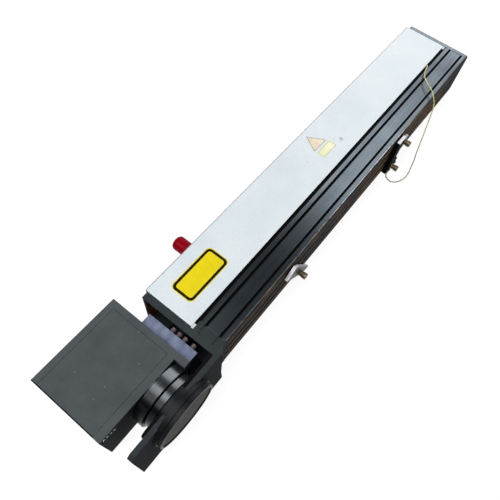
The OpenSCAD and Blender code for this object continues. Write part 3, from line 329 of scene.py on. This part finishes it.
# painted shade: the long folded sides and the rounds of the folds are painted grey
painted_fold_shade = zone(coated, (facing_of(coated)[1], 0.04, 0.25))
greyed = add(coated, "MixRGB", {"Color2": "#72797e"}, {"Fac": painted_fold_shade, "Color1": edged})
surface(coated, {"IOR": 1.5}, greyed, (0.36, 0.52, cloud), (0.08, 0.0002, mottle, soft))
dress(coated, "lid")


# ---- Seals and grommet ----------------------------------------------------------------------
# Strips of black foam rubber glued under the lid's lips, a rubber grommet round the earth wire
# and a rubber ring behind the window.

# Nitrile rubber: matt black, slightly greyed, with an open grain that is drawn 1.4 mm wide,
# coarser than the real one so that it shows.
rubber, place = finish_of("black_nitrile_rubber")
pores = add(rubber, "TexNoise", {"Scale": 700.0, "Detail": 4.0}, {"Vector": place})
tone = add(rubber, "ValToRGB", {"stops": [(0.3, "#020202"), (0.7, "#060606")]}, {"Fac": pores})
surface(rubber, {"IOR": 1.52, "Specular IOR Level": 0.05}, tone, (0.6, 0.85, pores),
        (0.3, 0.0002, pores))
dress(rubber, "lid_seals", "wire_grommet", "window_seal")


# ---- Lid end blocks -------------------------------------------------------------------------
# Small nylon blocks, moulded and pressed in, that close the open strip beside the lid at both
# ends.

# Natural nylon: milky white, waxy.
nylon, place = finish_of("natural_nylon")
cloud = add(nylon, "TexNoise", {"Scale": 260.0, "Detail": 4.0}, {"Vector": place})
tone = add(nylon, "ValToRGB", {"stops": [(0.3, "#b4babf"), (0.7, "#d3d8db")]}, {"Fac": cloud})
soft = add(nylon, "Bevel", {"samples": soft_samples, "Radius": 0.0005})
surface(nylon, {"IOR": 1.53, "Subsurface Weight": 0.1, "Subsurface Scale": 0.002}, tone,
        (0.35, 0.55, cloud), (0.1, 0.0002, cloud, soft))
dress(nylon, "lid_end_blocks")


# ---- Screws, shafts and nuts ----------------------------------------------------------------
# Turned and cold-headed steel: zinc-plated screws, shafts and T-slot nuts, the adapter's long
# stainless socket screws and the nose plate's black ones.

# Zinc-plated steel: bright grey, with dull blue spots and turning marks 0.8 mm wide, drawn
# coarser than the real ones so that they show.
zinc, place = finish_of("zinc_plated_steel")
turned = add(zinc, "TexNoise", {"Scale": 1300.0, "Detail": 3.0}, {"Vector": place})
spots = add(zinc, "TexNoise", {"Scale": 240.0, "Detail": 5.0}, {"Vector": place})
tone = add(zinc, "ValToRGB", {"stops": [(0.3, "#8f9295"), (0.5, "#b4b7ba"), (0.7, "#cfd2d4")]},
           {"Fac": spots})
soft = add(zinc, "Bevel", {"samples": soft_samples, "Radius": 0.0003})
surface(zinc, {"Metallic": 1.0}, tone, (0.22, 0.45, turned), (0.12, 0.0001, turned, soft))
dress(zinc, "front_cap_screws", "rear_cap_screws", "lid_screw", "scanner_screws", "galvo_x_rotor",
      "galvo_y_rotor", "clamp_nut", "bracket_nut")

# Stainless screws that have dulled: brownish grey with a weak pink cast and rough flanks.
dulled, place = finish_of("dulled_stainless_steel")
spots = add(dulled, "TexNoise", {"Scale": 300.0, "Detail": 5.0}, {"Vector": place})
tone = add(dulled, "ValToRGB", {"stops": [(0.3, "#5d5257"), (0.7, "#8b7f84")]}, {"Fac": spots})
surface(dulled, {"Metallic": 0.5}, tone, (0.5, 0.7, spots), (0.15, 0.0001, spots))
dress(dulled, "adapter_screws")

# Black oxide steel: a thin oiled film, near black, that shows the metal on worn corners.
oxide, place = finish_of("black_oxide_steel")
spots = add(oxide, "TexNoise", {"Scale": 500.0, "Detail": 5.0}, {"Vector": place})
tone = add(oxide, "ValToRGB", {"stops": [(0.3, "#141516"), (0.7, "#2a2b2c")]}, {"Fac": spots})
soft, edge = corner_light(oxide, 0.0003)
edged = add(oxide, "MixRGB", {"Color2": "#55585a"}, {"Fac": edge, "Color1": tone})
surface(oxide, {"Metallic": 0.8}, edged, (0.3, 0.5, spots), (0.1, 0.0001, spots, soft))
dress(oxide, "nose_screws")


# ---- Emission lamp --------------------------------------------------------------------------
# A red signal lamp on the lamp side: a moulded red cap, pressed on a black collar, over a small
# frosted bulb.

# Red polycarbonate: smooth and deeply dyed, with shallow moulded ribs 1.7 mm apart.
red_cap, place = finish_of("red_polycarbonate")
flow = add(red_cap, "TexNoise", {"Scale": 120.0, "Detail": 4.0}, {"Vector": place})
tone = add(red_cap, "ValToRGB", {"stops": [(0.3, "#840012"), (0.7, "#960318")]}, {"Fac": flow})
ribs = add(red_cap, "TexWave", {"Scale": 190.0, "bands_direction": "X"}, {"Vector": place})
surface(red_cap, {"IOR": 1.58, "Specular IOR Level": 0.03}, tone, (0.18, 0.34, flow),
        (0.1, 0.0004, (ribs, "Fac")))
dress(red_cap, "lamp_lens")

# Black ABS: moulded with a spark grain, drawn 0.8 mm wide, coarser than the real one.
abs_black, place = finish_of("moulded_black_abs")
grain = add(abs_black, "TexNoise", {"Scale": 1200.0, "Detail": 3.0}, {"Vector": place})
tone = add(abs_black, "ValToRGB", {"stops": [(0.3, "#141516"), (0.7, "#222426")]}, {"Fac": grain})
surface(abs_black, {"IOR": 1.54}, tone, (0.42, 0.58, grain), (0.2, 0.0002, grain))
dress(abs_black, "lamp_base")

# Frosted glass: white, with a little unevenness in the frosting.
frosted, place = finish_of("frosted_lamp_glass")
grain = add(frosted, "TexNoise", {"Scale": 900.0}, {"Vector": place})
tone = add(frosted, "ValToRGB", {"stops": [(0.3, "#d6cdbd"), (0.7, "#efe9de")]}, {"Fac": grain})
surface(frosted, {"IOR": 1.5, "Transmission Weight": 0.3}, tone, (0.3, 0.5, grain))
dress(frosted, "lamp_bulb")


# ---- Adapter plate --------------------------------------------------------------------------
# The sawn and milled block between housing and scanner, anodised violet-blue. The dye took
# unevenly, so paler streaks run across it.

# Violet anodised aluminium: satin, streaked, with milling lines 0.6 mm apart.
violet, place = finish_of("violet_anodised_aluminium")
streak_space = add(violet, "Mapping", {"Scale": (25.0, 70.0, 18.0), "Rotation": (0.3, 0.0, 0.4)},
                   {"Vector": place})
streak = add(violet, "TexNoise", {"Scale": 1.0, "Detail": 8.0, "Roughness": 0.65},
             {"Vector": streak_space})
tone = add(violet, "ValToRGB",
           {"stops": [(0.3, "#59627c"), (0.48, "#6c758e"), (0.62, "#818aa2"), (0.78, "#9da5bb")]},
           {"Fac": streak})
mill_space = add(violet, "Mapping", {"Scale": (1600.0, 12.0, 1600.0)}, {"Vector": place})
mill = add(violet, "TexNoise", {"Scale": 1.0, "Detail": 2.0}, {"Vector": mill_space})
soft, edge = corner_light(violet, 0.0008)
edged = add(violet, "MixRGB", {"Color2": "#c3c9da"}, {"Fac": edge, "Color1": tone})
surface(violet, {"Metallic": 0.3, "Specular IOR Level": 0.25}, edged, (0.36, 0.52, mill),
        (0.15, 0.0002, mill, soft))
dress(violet, "adapter_plate")


# ---- Scanner end plate, motors, nose deck and bracket bar -----------------------------------
# A thin plate over the scanner's far end, the galvanometers' bodies, the deck behind the nose, a
# black shield put in the gap behind the adapter plate as painted shade, and the rear bracket's
# bar: aluminium with a dense black finish, held by screws.

# Black anodised plate: dense black, semi-matt, rubbed to grey at its corners.
dense, place = finish_of("black_anodised_plate")
cloud = add(dense, "TexNoise", {"Scale": 70.0, "Detail": 6.0}, {"Vector": place})
tone = add(dense, "ValToRGB", {"stops": [(0.3, "#0b0c0d"), (0.7, "#151618")]}, {"Fac": cloud})
soft, edge = corner_light(dense, 0.0006)
nicks = add(dense, "TexNoise", {"Scale": 300.0, "Detail": 5.0}, {"Vector": place})
patchy = add(dense, "MapRange", {"From Min": 0.45, "From Max": 0.7, "To Max": 0.8},
             {"Value": nicks})
bare = add(dense, "Math", {"operation": "MULTIPLY"}, {0: edge, 1: patchy})
edged = add(dense, "MixRGB", {"Color2": "#5a5d60"}, {"Fac": bare, "Color1": tone})
surface(dense, {"Specular IOR Level": 0.02}, edged, (0.6, 0.78, cloud), (0.1, 0.0002, nicks, soft))
# the gap shield is a black sheet that stands in for the shade in the gap behind the adapter plate
dress(dense, "scanner_end_plate", "galvo_x_motor", "galvo_y_motor", "nose_deck", "gap_shield")

# The same finish on the bracket's bar. The bright patch on its upper end stands in for the
# claw's milled face, which lies over the bar there.
bar_black = dense.copy()
bar_black.name = "black_anodised_bar_bright_end"
bar_y_at, bar_z_at = along_axes(bar_black, (add(bar_black, "TexCoord"), "Object"))[1:]
bar_end = zone(bar_black, (bar_z_at, 0.1024, 0.1028), (bar_y_at, -0.0815, -0.083))
lay_over(bar_black, bar_end, "#e2e0e6")
dress(bar_black, "bracket_bar")


# ---- Lens rings, window ring and beam parts -------------------------------------------------
# Lathe-turned aluminium rings, anodised glossy black. The turning leaves fine rings that catch
# the light in long soft highlights.

def turned_finish(name, tones, edge_highlight, least, most):
    """Glossy black anodised aluminium, turned, with rings 0.5 mm apart along the lens axis.

    The rings are drawn coarser than the real ones so that they show. least and most are the
    roughness on and between them.
    """
    finish, place = finish_of(name)
    ring_space = add(finish, "Mapping", {"Scale": (3.0, 2000.0, 3.0)}, {"Vector": place})
    rings = add(finish, "TexNoise", {"Scale": 1.0, "Detail": 2.0}, {"Vector": ring_space})
    cloud = add(finish, "TexNoise", {"Scale": 60.0, "Detail": 5.0}, {"Vector": place})
    tone = add(finish, "ValToRGB", {"stops": tuple(zip((0.3, 0.7), tones))}, {"Fac": cloud})
    soft, edge = corner_light(finish, 0.0002)
    # painted highlight: a thin line in the edge colour along every edge
    edged = add(finish, "MixRGB", {"Color2": edge_highlight}, {"Fac": edge, "Color1": tone})
    # painted shade: the flanks that turn away from the light are painted darker than the top, which
    # takes their highlight away
    toward_light = (0.6, 0.0, 0.8)
    facing = add(finish, "VectorMath", {"operation": "DOT_PRODUCT", 1: toward_light},
                 {0: (add(finish, "NewGeometry"), "Normal")})
    away_from_light = zone(finish, ((facing, "Value"), 0.94, 0.62))
    painted_flank_shade = add(finish, "MixRGB", {"Color2": "#141618"}, {"Fac": away_from_light, "Color1": edged})
    surface(finish, {"Metallic": 0.85}, painted_flank_shade, (least, most, rings), (0.02, 0.0001, rings, soft))
    return finish


turned_black = turned_finish("turned_black_anodised_aluminium", ("#5c6164", "#666a6d"), "#5e6366",
                             least=0.22, most=0.3)
dress(turned_black, "lens_barrel", "lens_front_ring", "beam_tube", "beam_expander")

# The window's ring has more dye and a duller face.
ring_dye = turned_finish("turned_deep_black_anodised_aluminium", ("#191b1d", "#202224"), "#2a2d2f",
                         least=0.42, most=0.5)
dress(ring_dye, "window_ring")


def shop(x, y, z):
    """A place counted in mm from the front cap, the clamp side and the back, in metres."""
    return Vector(((x - housing_l / 2) / 1000.0, (y - housing_w / 2) / 1000.0, z / 1000.0))


def piece(name, verts, faces, finish, smooth=False):
    """A mesh piece, shown in one finish."""
    mesh = bpy.data.meshes.new(name)
    mesh.from_pydata([tuple(v) for v in verts], [], faces)
    mesh.update()
    if smooth:
        mesh.shade_smooth()
    made = bpy.data.objects.new(name, mesh)
    scene.collection.objects.link(made)
    mesh.materials.append(finish)
    return made


# A thin turned sleeve lines the hole through the nose plate, between lens and window, so that
# no marking dust gets on the lens from the plate's open top edge.
lens_x, lens_z = -92.0, 63.5
sleeve_sides = 96
sleeve_outer, sleeve_inner = 49.6, 48.0
sleeve_back, sleeve_front = 8.9, -4.9
sleeve_rings = ((sleeve_outer, sleeve_back), (sleeve_outer, sleeve_front),
                (sleeve_inner, sleeve_front), (sleeve_inner, sleeve_back))
sleeve_verts = [shop(lens_x + r * math.cos(2 * math.pi * k / sleeve_sides), y,
                     lens_z + r * math.sin(2 * math.pi * k / sleeve_sides))
                for r, y in sleeve_rings for k in range(sleeve_sides)]
sleeve_faces = []
for i in range(len(sleeve_rings)):
    here, there = i * sleeve_sides, (i + 1) % len(sleeve_rings) * sleeve_sides
    for k in range(sleeve_sides):
        j = (k + 1) % sleeve_sides
        sleeve_faces.append((here + k, here + j, there + j, there + k))
sleeve = piece("lens_dust_sleeve", sleeve_verts, sleeve_faces, ring_dye)
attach(sleeve, "head")


# ---- Lenses and window ----------------------------------------------------------------------
# Polished optical glass with an infrared coating, and the flat protective window in its ring,
# dulled by fine dust from marking.

# Coated optical glass: clear, faintly green-grey, very smooth.
optic, place = finish_of("coated_optical_glass")
haze = add(optic, "TexNoise", {"Scale": 60.0, "Detail": 5.0}, {"Vector": place})
tone = add(optic, "ValToRGB", {"stops": [(0.3, "#c6d3dc"), (0.7, "#dbe4ea")]}, {"Fac": haze})
surface(optic, {"IOR": 1.5, "Transmission Weight": 0.9}, tone, (0.01, 0.05, haze))
dress(optic, "lens_rear_glass", "lens_front_glass")

# Dusty window glass: its grey is marking dust and a painted reflection, and the dust blurs what it
# reflects.
dusty, place = finish_of("dusty_window_glass")
dust_and_reflection = add(dusty, "TexNoise", {"Scale": 45.0, "Detail": 8.0, "Roughness": 0.7},
                {"Vector": place})
tone = add(dusty, "ValToRGB", {"stops": [(0.34, "#5c5e59"), (0.5, "#6e706a"), (0.68, "#888a82")]},
           {"Fac": dust_and_reflection})
surface(dusty, {"IOR": 1.5, "Specular IOR Level": 0.0, "Coat Weight": 0.12, "Coat Roughness": 0.08},
        tone, (0.12, 0.3, dust_and_reflection))
dress(dusty, "window_glass")


# ---- Clamps ---------------------------------------------------------------------------------
# Two flat claws sawn from aluminium bar and milled bright, one on the turned front clamp and
# one on the rear bracket. Each is pressed on the housing by a bolt in a T-nut.

# Milled aluminium: bright, with painted shade on its broad outer faces and mill lines 1.1 mm
# apart, drawn coarser than the real ones so that they show.
milled, place = finish_of("milled_bare_aluminium")
cut_space = add(milled, "Mapping", {"Scale": (900.0, 900.0, 90.0), "Rotation": (0.0, 0.6, 0.0)},
                {"Vector": place})
cut = add(milled, "TexNoise", {"Scale": 1.0, "Detail": 4.0}, {"Vector": cut_space})
cloud = add(milled, "TexNoise", {"Scale": 130.0, "Detail": 6.0}, {"Vector": place})
tone = add(milled, "ValToRGB", {"stops": [(0.3, "#d2d0d6"), (0.5, "#e4e3e8"), (0.7, "#efeef2")]},
           {"Fac": cloud})
soft, edge = corner_light(milled, 0.0003)
edged = add(milled, "MixRGB", {"Color2": "#e6e5ea"}, {"Fac": edge, "Color1": tone})
# painted shade: the broad outer faces, which turn from the light, are painted grey with a violet
# cast
painted_side_shade = zone(milled, (facing_of(milled)[1], -0.6, -0.9))
side_shaded = add(milled, "MixRGB", {"Color2": "#35313a"}, {"Fac": painted_side_shade, "Color1": edged})
surface(milled, {"Metallic": 0.2, "Specular IOR Level": 0.3}, side_shaded, (0.34, 0.55, cut),
        (0.2, 0.0002, cut, soft))
dress(milled, "clamp_claw", "bracket_claw", "lid_bracket", "optical_rail", "galvo_block",
      "q_switch", "mirror_mounts", "shutter_flag")

# Yellow-passivated zinc: brassy brown, with rainbow-dull patches.
yellow_zinc, place = finish_of("yellow_passivated_zinc")
patch = add(yellow_zinc, "TexNoise", {"Scale": 200.0, "Detail": 5.0}, {"Vector": place})
tone = add(yellow_zinc, "ValToRGB",
           {"stops": [(0.3, "#40372a"), (0.5, "#5f533b"), (0.62, "#766a4e"), (0.75, "#8f856b")]},
           {"Fac": patch})
soft, edge = corner_light(yellow_zinc, 0.0004)
edged = add(yellow_zinc, "MixRGB", {"Color2": "#ab9f79"}, {"Fac": edge, "Color1": tone})
surface(yellow_zinc, {"Metallic": 0.7}, edged, (0.28, 0.5, patch), (0.12, 0.0002, patch, soft))
dress(yellow_zinc, "clamp_bolt", "bracket_bolts")

# Tinned copper: soft grey-gold, crimped and dull.
tinned, place = finish_of("tinned_copper")
patch = add(tinned, "TexNoise", {"Scale": 400.0, "Detail": 4.0}, {"Vector": place})
tone = add(tinned, "ValToRGB", {"stops": [(0.3, "#a8946a"), (0.7, "#c9bc98")]}, {"Fac": patch})
soft = add(tinned, "Bevel", {"samples": soft_samples, "Radius": 0.0003})
surface(tinned, {"Metallic": 1.0}, tone, (0.3, 0.5, patch), (0.15, 0.0002, patch, soft))
dress(tinned, "earth_lug")


# ---- Earth wire -----------------------------------------------------------------------------
# A single stranded earth wire of 2.4 mm, yellow PVC with a green stripe that winds round it. It
# leaves the gap beside the lid through a grommet and ends in a lug under the bracket's bolt.

# the wire's way from its grommet to its lug, in mm, with x counted from the bracket's bolt
wire_way = [
    (224, 59, 103.6), (224, 59, 104.6), (224, 59, 105.6), (222.4, 58.5, 107.4), (213, 56, 110.2),
    (192, 51, 113), (176, 44, 115), (162, 32, 117), (151, 18, 118), (142, 7, 117), (134, -2, 113),
    (129, -9, 106), (123, -14, 96), (115, -18, 82), (103, -23, 66), (89, -28, 51), (74, -33, 39),
    (57, -38, 28), (39, -44, 20), (22, -48, 14), (6, -51, 9), (-7, -51, 7), (-20, -47, 6),
    (-31, -40, 5), (-36, -29, 4), (-32, -17, 4), (-23, -12, 4), (-15, -11.9, 5),
]
bolt_along = 614
wire_r = 0.0012
stripe_turn = 0.014     # the stripe winds once round the wire in 14 mm
wire_steps = 8
wire_sides = 16
knots = [shop(bolt_along + x, y, z) for x, y, z in wire_way]
wire_path = []
for i in range(len(knots) - 1):
    a, b, c, d = (knots[min(max(i + k, 0), len(knots) - 1)] for k in (-1, 0, 1, 2))
    for s in range(wire_steps):
        t = s / wire_steps
        wire_path.append(0.5 * (2 * b + (c - a) * t + (2 * a - 5 * b + 4 * c - d) * t * t
                                + (3 * b - a - 3 * c + d) * t ** 3))
wire_path.append(knots[-1])
wire_verts, winding_marks = [], []
side, travelled = Vector((1, 0, 0)), 0.0
for i, point in enumerate(wire_path):
    heading = (wire_path[min(i + 1, len(wire_path) - 1)] - wire_path[max(i - 1, 0)]).normalized()
    side = (side - heading * side.dot(heading)).normalized()
    over = heading.cross(side)
    travelled += (point - wire_path[i - 1]).length if i else 0.0
    for k in range(wire_sides):
        turned = 2 * math.pi * k / wire_sides
        wire_verts.append(point + wire_r * (math.cos(turned) * side + math.sin(turned) * over))
        stripe_side = math.cos(turned - 2 * math.pi * travelled / stripe_turn)
        winding_marks.append(0.5 + 0.5 * stripe_side)
wire_faces = [(i * wire_sides + k, i * wire_sides + (k + 1) % wire_sides,
               (i + 1) * wire_sides + (k + 1) % wire_sides, (i + 1) * wire_sides + k)
              for i in range(len(wire_path) - 1) for k in range(wire_sides)]
wire_faces += [tuple(range(wire_sides))[::-1],
               tuple((len(wire_path) - 1) * wire_sides + k for k in range(wire_sides))]

# Extruded PVC: soft gloss, with dulled and dirtied stretches where it was handled.
pvc, place = finish_of("pvc_sheath_yellow_green")
winding = add(pvc, "Attribute", {"attribute_name": "winding"})
grime = add(pvc, "TexNoise", {"Scale": 90.0, "Detail": 5.0}, {"Vector": place})
stripe = add(pvc, "ValToRGB",
             {"stops": [(0.0, "#eae79c"), (0.74, "#e6e394"), (0.86, "#b9c27a"), (1.0, "#a3b36c")]},
             {"Fac": (winding, "Fac")})
soil = add(pvc, "ValToRGB", {"stops": [(0.35, "#ffffff"), (0.72, "#c9c3a4")]}, {"Fac": grime})
mixed = add(pvc, "MixRGB", {"blend_type": "MULTIPLY", "Fac": 0.8},
            {"Color1": stripe, "Color2": soil})
# the wire is painted darker towards the bottom, where it hangs beside the housing
height = along_axes(pvc, place)[2]
low = add(pvc, "MapRange", {"From Min": 0.085, "From Max": 0.02, "To Max": 0.62},
          {"Value": height})
greyed = add(pvc, "MixRGB", {"Color2": "#4f4d3d"}, {"Fac": low, "Color1": mixed})
skin = add(pvc, "TexNoise", {"Scale": 900.0}, {"Vector": place})
surface(pvc, {"IOR": 1.53}, greyed, (0.38, 0.6, grime), (0.15, 0.0002, skin))

earth_wire = piece("earth_wire_sheath", wire_verts, wire_faces, pvc, smooth=True)
marks = earth_wire.data.attributes.new("winding", "FLOAT", "POINT")
marks.data.foreach_set("value", winding_marks)
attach(earth_wire, "head")
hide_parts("earth_wire")


# ---- Laser parts inside the housing ---------------------------------------------------------
# The pump chamber and shutter coil are gold-coloured, the rod is a pale crystal, the mirrors are
# coated glass and the scanner's drivers are green circuit boards.

# Gold-plated copper: warm and smooth, with faint wiping marks.
gold, place = finish_of("gold_plated_copper")
wipe = add(gold, "TexNoise", {"Scale": 80.0, "Detail": 6.0}, {"Vector": place})
tone = add(gold, "ValToRGB", {"stops": [(0.3, "#b08a45"), (0.7, "#d9b86c")]}, {"Fac": wipe})
gloss = add(gold, "MapRange", {"To Min": 0.2, "To Max": 0.36}, {"Value": wipe})
soft = add(gold, "Bevel", {"samples": soft_samples, "Radius": 0.0008})
shade(gold, {"Metallic": 1.0}, {"Base Color": tone, "Roughness": gloss, "Normal": soft})
dress(gold, "pump_chamber", "shutter_solenoid")

# Doped crystal: pale violet, polished ends and a ground barrel.
crystal, place = finish_of("doped_laser_crystal")
ground = add(crystal, "TexNoise", {"Scale": 600.0}, {"Vector": place})
tone = add(crystal, "ValToRGB", {"stops": [(0.3, "#b892d6"), (0.7, "#d3b6e6")]}, {"Fac": ground})
surface(crystal, {"IOR": 1.82, "Transmission Weight": 0.6}, tone, (0.1, 0.3, ground))
dress(crystal, "laser_rod")

# Dielectric mirror: polished, with a faint pink-gold sheen that varies over the coating.
mirror, place = finish_of("dielectric_mirror_coating")
coat = add(mirror, "TexNoise", {"Scale": 50.0, "Detail": 2.0}, {"Vector": place})
tone = add(mirror, "ValToRGB", {"stops": [(0.3, "#d9cfc0"), (0.7, "#e4dfe6")]}, {"Fac": coat})
surface(mirror, {"Metallic": 1.0}, tone, (0.02, 0.07, coat))
dress(mirror, "cavity_mirrors", "galvo_x_mirror", "galvo_y_mirror")

# Circuit board: glass fibre laminate under green solder mask, with the copper tracks showing
# as slightly raised paler lines 1 mm apart.
board, place = finish_of("green_circuit_board")
tracks = add(board, "TexBrick",
             {"Scale": 240.0, "Mortar Size": 0.03, "Color1": "#1f5a38", "Color2": "#23663f",
              "Mortar": "#2f7d50"}, {"Vector": place})
surface(board, {"IOR": 1.55}, tracks, (0.3, 0.45, (tracks, "Fac")), (0.2, 0.0001, (tracks, "Fac")))
dress(board, "driver_boards")


# ---- Stickers on the lid --------------------------------------------------------------------
# Blank vinyl stickers, pressed on the coated lid: a yellow one with a printed black border near
# the front, and two sun-faded ones, a triangle and a rectangle, near the middle.

# heights in mm, and the corners (x, y, x, y) and corner radius of each outline
lid_top = 107.0
film_t = 0.12
print_t = 0.03
yellow_outline = (42.9, 87.1, 146.4, 135.9, 9.8)
yellow_line_outer = (44.6, 88.7, 144.7, 134.2, 8.5)
yellow_line_inner = (49.5, 93.6, 139.8, 129.3, 4.8)
faded_outline = (450.5, 89.5, 495.6, 109, 1.0)
faded_line_outer = (451.5, 90.5, 494.6, 108, 0.8)
faded_line_inner = (452.5, 91.5, 493.6, 107, 0.6)
triangle = [(493, 113.4), (471, 150), (450, 114.4)]
triangle_line_inner = [(490.2, 115), (471, 147), (452.9, 115.8)]


def rounded(x0, y0, x1, y1, r, steps=8):
    """The outline of a rectangle with round corners, in mm."""
    line = []
    for cx, cy, start in ((x1 - r, y1 - r, 0), (x0 + r, y1 - r, 90), (x0 + r, y0 + r, 180),
                          (x1 - r, y0 + r, 270)):
        for i in range(steps + 1):
            a = math.radians(start + 90 * i / steps)
            line.append((cx + r * math.cos(a), cy + r * math.sin(a)))
    return line


def film(name, outline, finish):
    """A thin flat film with that outline, lying on the lid."""
    n = len(outline)
    verts = [shop(x, y, z) for z in (lid_top, lid_top + film_t) for x, y in outline]
    faces = [tuple(range(n, 2 * n)), tuple(range(n))[::-1]]
    faces += [(i, (i + 1) % n, n + (i + 1) % n, n + i) for i in range(n)]
    made = piece(name, verts, faces, finish)
    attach(made, "head")


def line_round(name, outer, inner, finish):
    """A printed line on a film, between two outlines with the same number of points."""
    n = len(outer)
    low = lid_top + film_t
    verts = [shop(x, y, z) for z in (low, low + print_t) for ring in (outer, inner)
             for x, y in ring]
    faces = []
    for i in range(n):
        j = (i + 1) % n
        faces += [(2 * n + i, 2 * n + j, 3 * n + j, 3 * n + i), (i, n + i, n + j, j),
                  (i, j, 2 * n + j, 2 * n + i), (n + j, n + i, 3 * n + i, 3 * n + j)]
    made = piece(name, verts, faces, finish)
    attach(made, "head")


# Yellow vinyl film: strong even yellow, soft gloss, with a faint wipe of grime and pressed-in
# unevenness of the lid below.
vinyl, place = finish_of("yellow_vinyl_film")
grime = add(vinyl, "TexNoise", {"Scale": 60.0, "Detail": 7.0, "Roughness": 0.65}, {"Vector": place})
tone = add(vinyl, "ValToRGB", {"stops": [(0.3, "#dfc800"), (0.6, "#e9d400"), (0.8, "#eed90a")]},
           {"Fac": grime})
surface(vinyl, {"IOR": 1.5, "Specular IOR Level": 0.2}, tone, (0.45, 0.6, grime),
        (0.08, 0.0003, grime))
film("yellow_sticker", rounded(*yellow_outline), vinyl)

# Black print: screen-printed ink, semi-matt, slightly uneven.
ink, place = finish_of("black_screen_ink")
grain = add(ink, "TexNoise", {"Scale": 500.0, "Detail": 4.0}, {"Vector": place})
tone = add(ink, "ValToRGB", {"stops": [(0.3, "#040403"), (0.7, "#0d0c09")]}, {"Fac": grain})
surface(ink, {"IOR": 1.5, "Specular IOR Level": 0.15}, tone, (0.35, 0.5, grain))
line_round("yellow_sticker_border", rounded(*yellow_line_outer), rounded(*yellow_line_inner), ink)

# Faded vinyl film: the yellow has bleached to cream, and patches of it are nearly white.
faded, place = finish_of("faded_vinyl_film")
bleach = add(faded, "TexNoise", {"Scale": 70.0, "Detail": 6.0}, {"Vector": place})
tone = add(faded, "ValToRGB", {"stops": [(0.35, "#decdb4"), (0.5, "#e6d9bd"), (0.65, "#ece3c6")]},
           {"Fac": bleach})
surface(faded, {"IOR": 1.5}, tone, (0.35, 0.55, bleach), (0.08, 0.0003, bleach))
film("faded_triangle", triangle, faded)
pale = redyed(faded, "pale_faded_vinyl_film", ("#e6e3b8", "#ecebc4", "#f1f0d0"))
film("faded_rectangle", rounded(*faded_outline), pale)

# Faded print: the black line has gone brownish grey.
faded_ink, place = finish_of("faded_screen_ink")
grain = add(faded_ink, "TexNoise", {"Scale": 300.0, "Detail": 4.0}, {"Vector": place})
tone = add(faded_ink, "ValToRGB", {"stops": [(0.3, "#8b8578"), (0.7, "#b9b3a2")]}, {"Fac": grain})
surface(faded_ink, {"IOR": 1.5}, tone, (0.45, 0.6, grain))
line_round("faded_rectangle_border", rounded(*faded_line_outer), rounded(*faded_line_inner),
           faded_ink)
line_round("faded_triangle_border", triangle, triangle_line_inner, faded_ink)


# ---- Studio ---------------------------------------------------------------------------------
# A white floor with low walls that keeps the object's shadow, a wide soft panel beyond the rear
# cap, a large soft key overhead in front of the scan head, and dim even light all round.

floor_white = bpy.data.materials.new("white_studio_floor")
floor_white.use_nodes = True
tree = floor_white.node_tree
tree.nodes.remove(tree.nodes["Principled BSDF"])
plain = add(floor_white, "BsdfDiffuse", {"Color": "#757575"})
ray = add(floor_white, "LightPath")
# it glows for the camera and in reflections alone, so that it lights nothing from below
seen = add(floor_white, "Math", {"operation": "MAXIMUM"},
           {0: (ray, "Is Camera Ray"), 1: (ray, "Is Glossy Ray")})
seen_through = add(floor_white, "Math", {"operation": "MAXIMUM"},
                   {0: seen, 1: (ray, "Is Transmission Ray")})
lift = add(floor_white, "Math", {"operation": "MULTIPLY", 1: 0.9}, {0: seen_through})
glow = add(floor_white, "Emission", {"Color": (1.0, 1.0, 1.0, 1.0)}, {"Strength": lift})
both = add(floor_white, "AddShader", {}, {0: plain, 1: glow})
join(floor_white, both, tree.nodes["Material Output"].inputs["Surface"])
# the floor turns up into low walls, so that it fills the picture from every side
floor_half = 8
wall_spread, wall_top = 1.2, 2.8
corners = [(-floor_half, -floor_half), (floor_half, -floor_half), (floor_half, floor_half),
           (-floor_half, floor_half)]
floor = piece("studio_floor",
              [(x, y, 0) for x, y in corners]
              + [(wall_spread * x, wall_spread * y, wall_top) for x, y in corners],
              [(0, 1, 2, 3)] + [(k, (k + 1) % 4, 4 + (k + 1) % 4, 4 + k) for k in range(4)],
              floor_white)

world = bpy.data.worlds.new("studio_air")
scene.world = world
world.use_nodes = True
air = world.node_tree.nodes["Background"]
air.inputs["Color"].default_value = (0.97, 0.985, 1.0, 1.0)
# dim overhead and brighter towards the walls
height = along_axes(world, (add(world, "TexCoord"), "Generated"))[2]
fade = add(world, "MapRange", {"From Min": 0.05, "From Max": 0.75, "To Min": 0.1, "To Max": 0.03},
           {"Value": height})
# over the floor's walls the air looks white, as the floor does
sky_ray = add(world, "LightPath")
sky_seen = add(world, "Math", {"operation": "MAXIMUM"},
               {0: (sky_ray, "Is Camera Ray"), 1: (sky_ray, "Is Transmission Ray")})
sky = add(world, "Math", {"operation": "MAXIMUM"}, {0: sky_seen, 1: fade})
join(world, sky, air.inputs["Strength"])


def panel(name, at, toward, width, height, power):
    """A soft rectangular light."""
    data = bpy.data.lights.new(name, "AREA")
    data.shape = "RECTANGLE"
    data.size, data.size_y, data.energy = width, height, power
    made = bpy.data.objects.new(name, data)
    scene.collection.objects.link(made)
    made.location = at
    made.rotation_euler = (Vector(toward) - Vector(at)).to_track_quat("-Z", "Y").to_euler()
    made.visible_camera = False


panel("rear_panel", at=(1.5, 0.2, 1.4), toward=(0.0, 0.2, 1.2), width=2.8, height=1.8, power=34.0)
panel("overhead_key", at=(-1.7, 0.5, 3.3), toward=(0.1, 0.0, 0.0), width=1.9, height=3.4,
      power=125.0)

scene.view_settings.view_transform = "Standard"
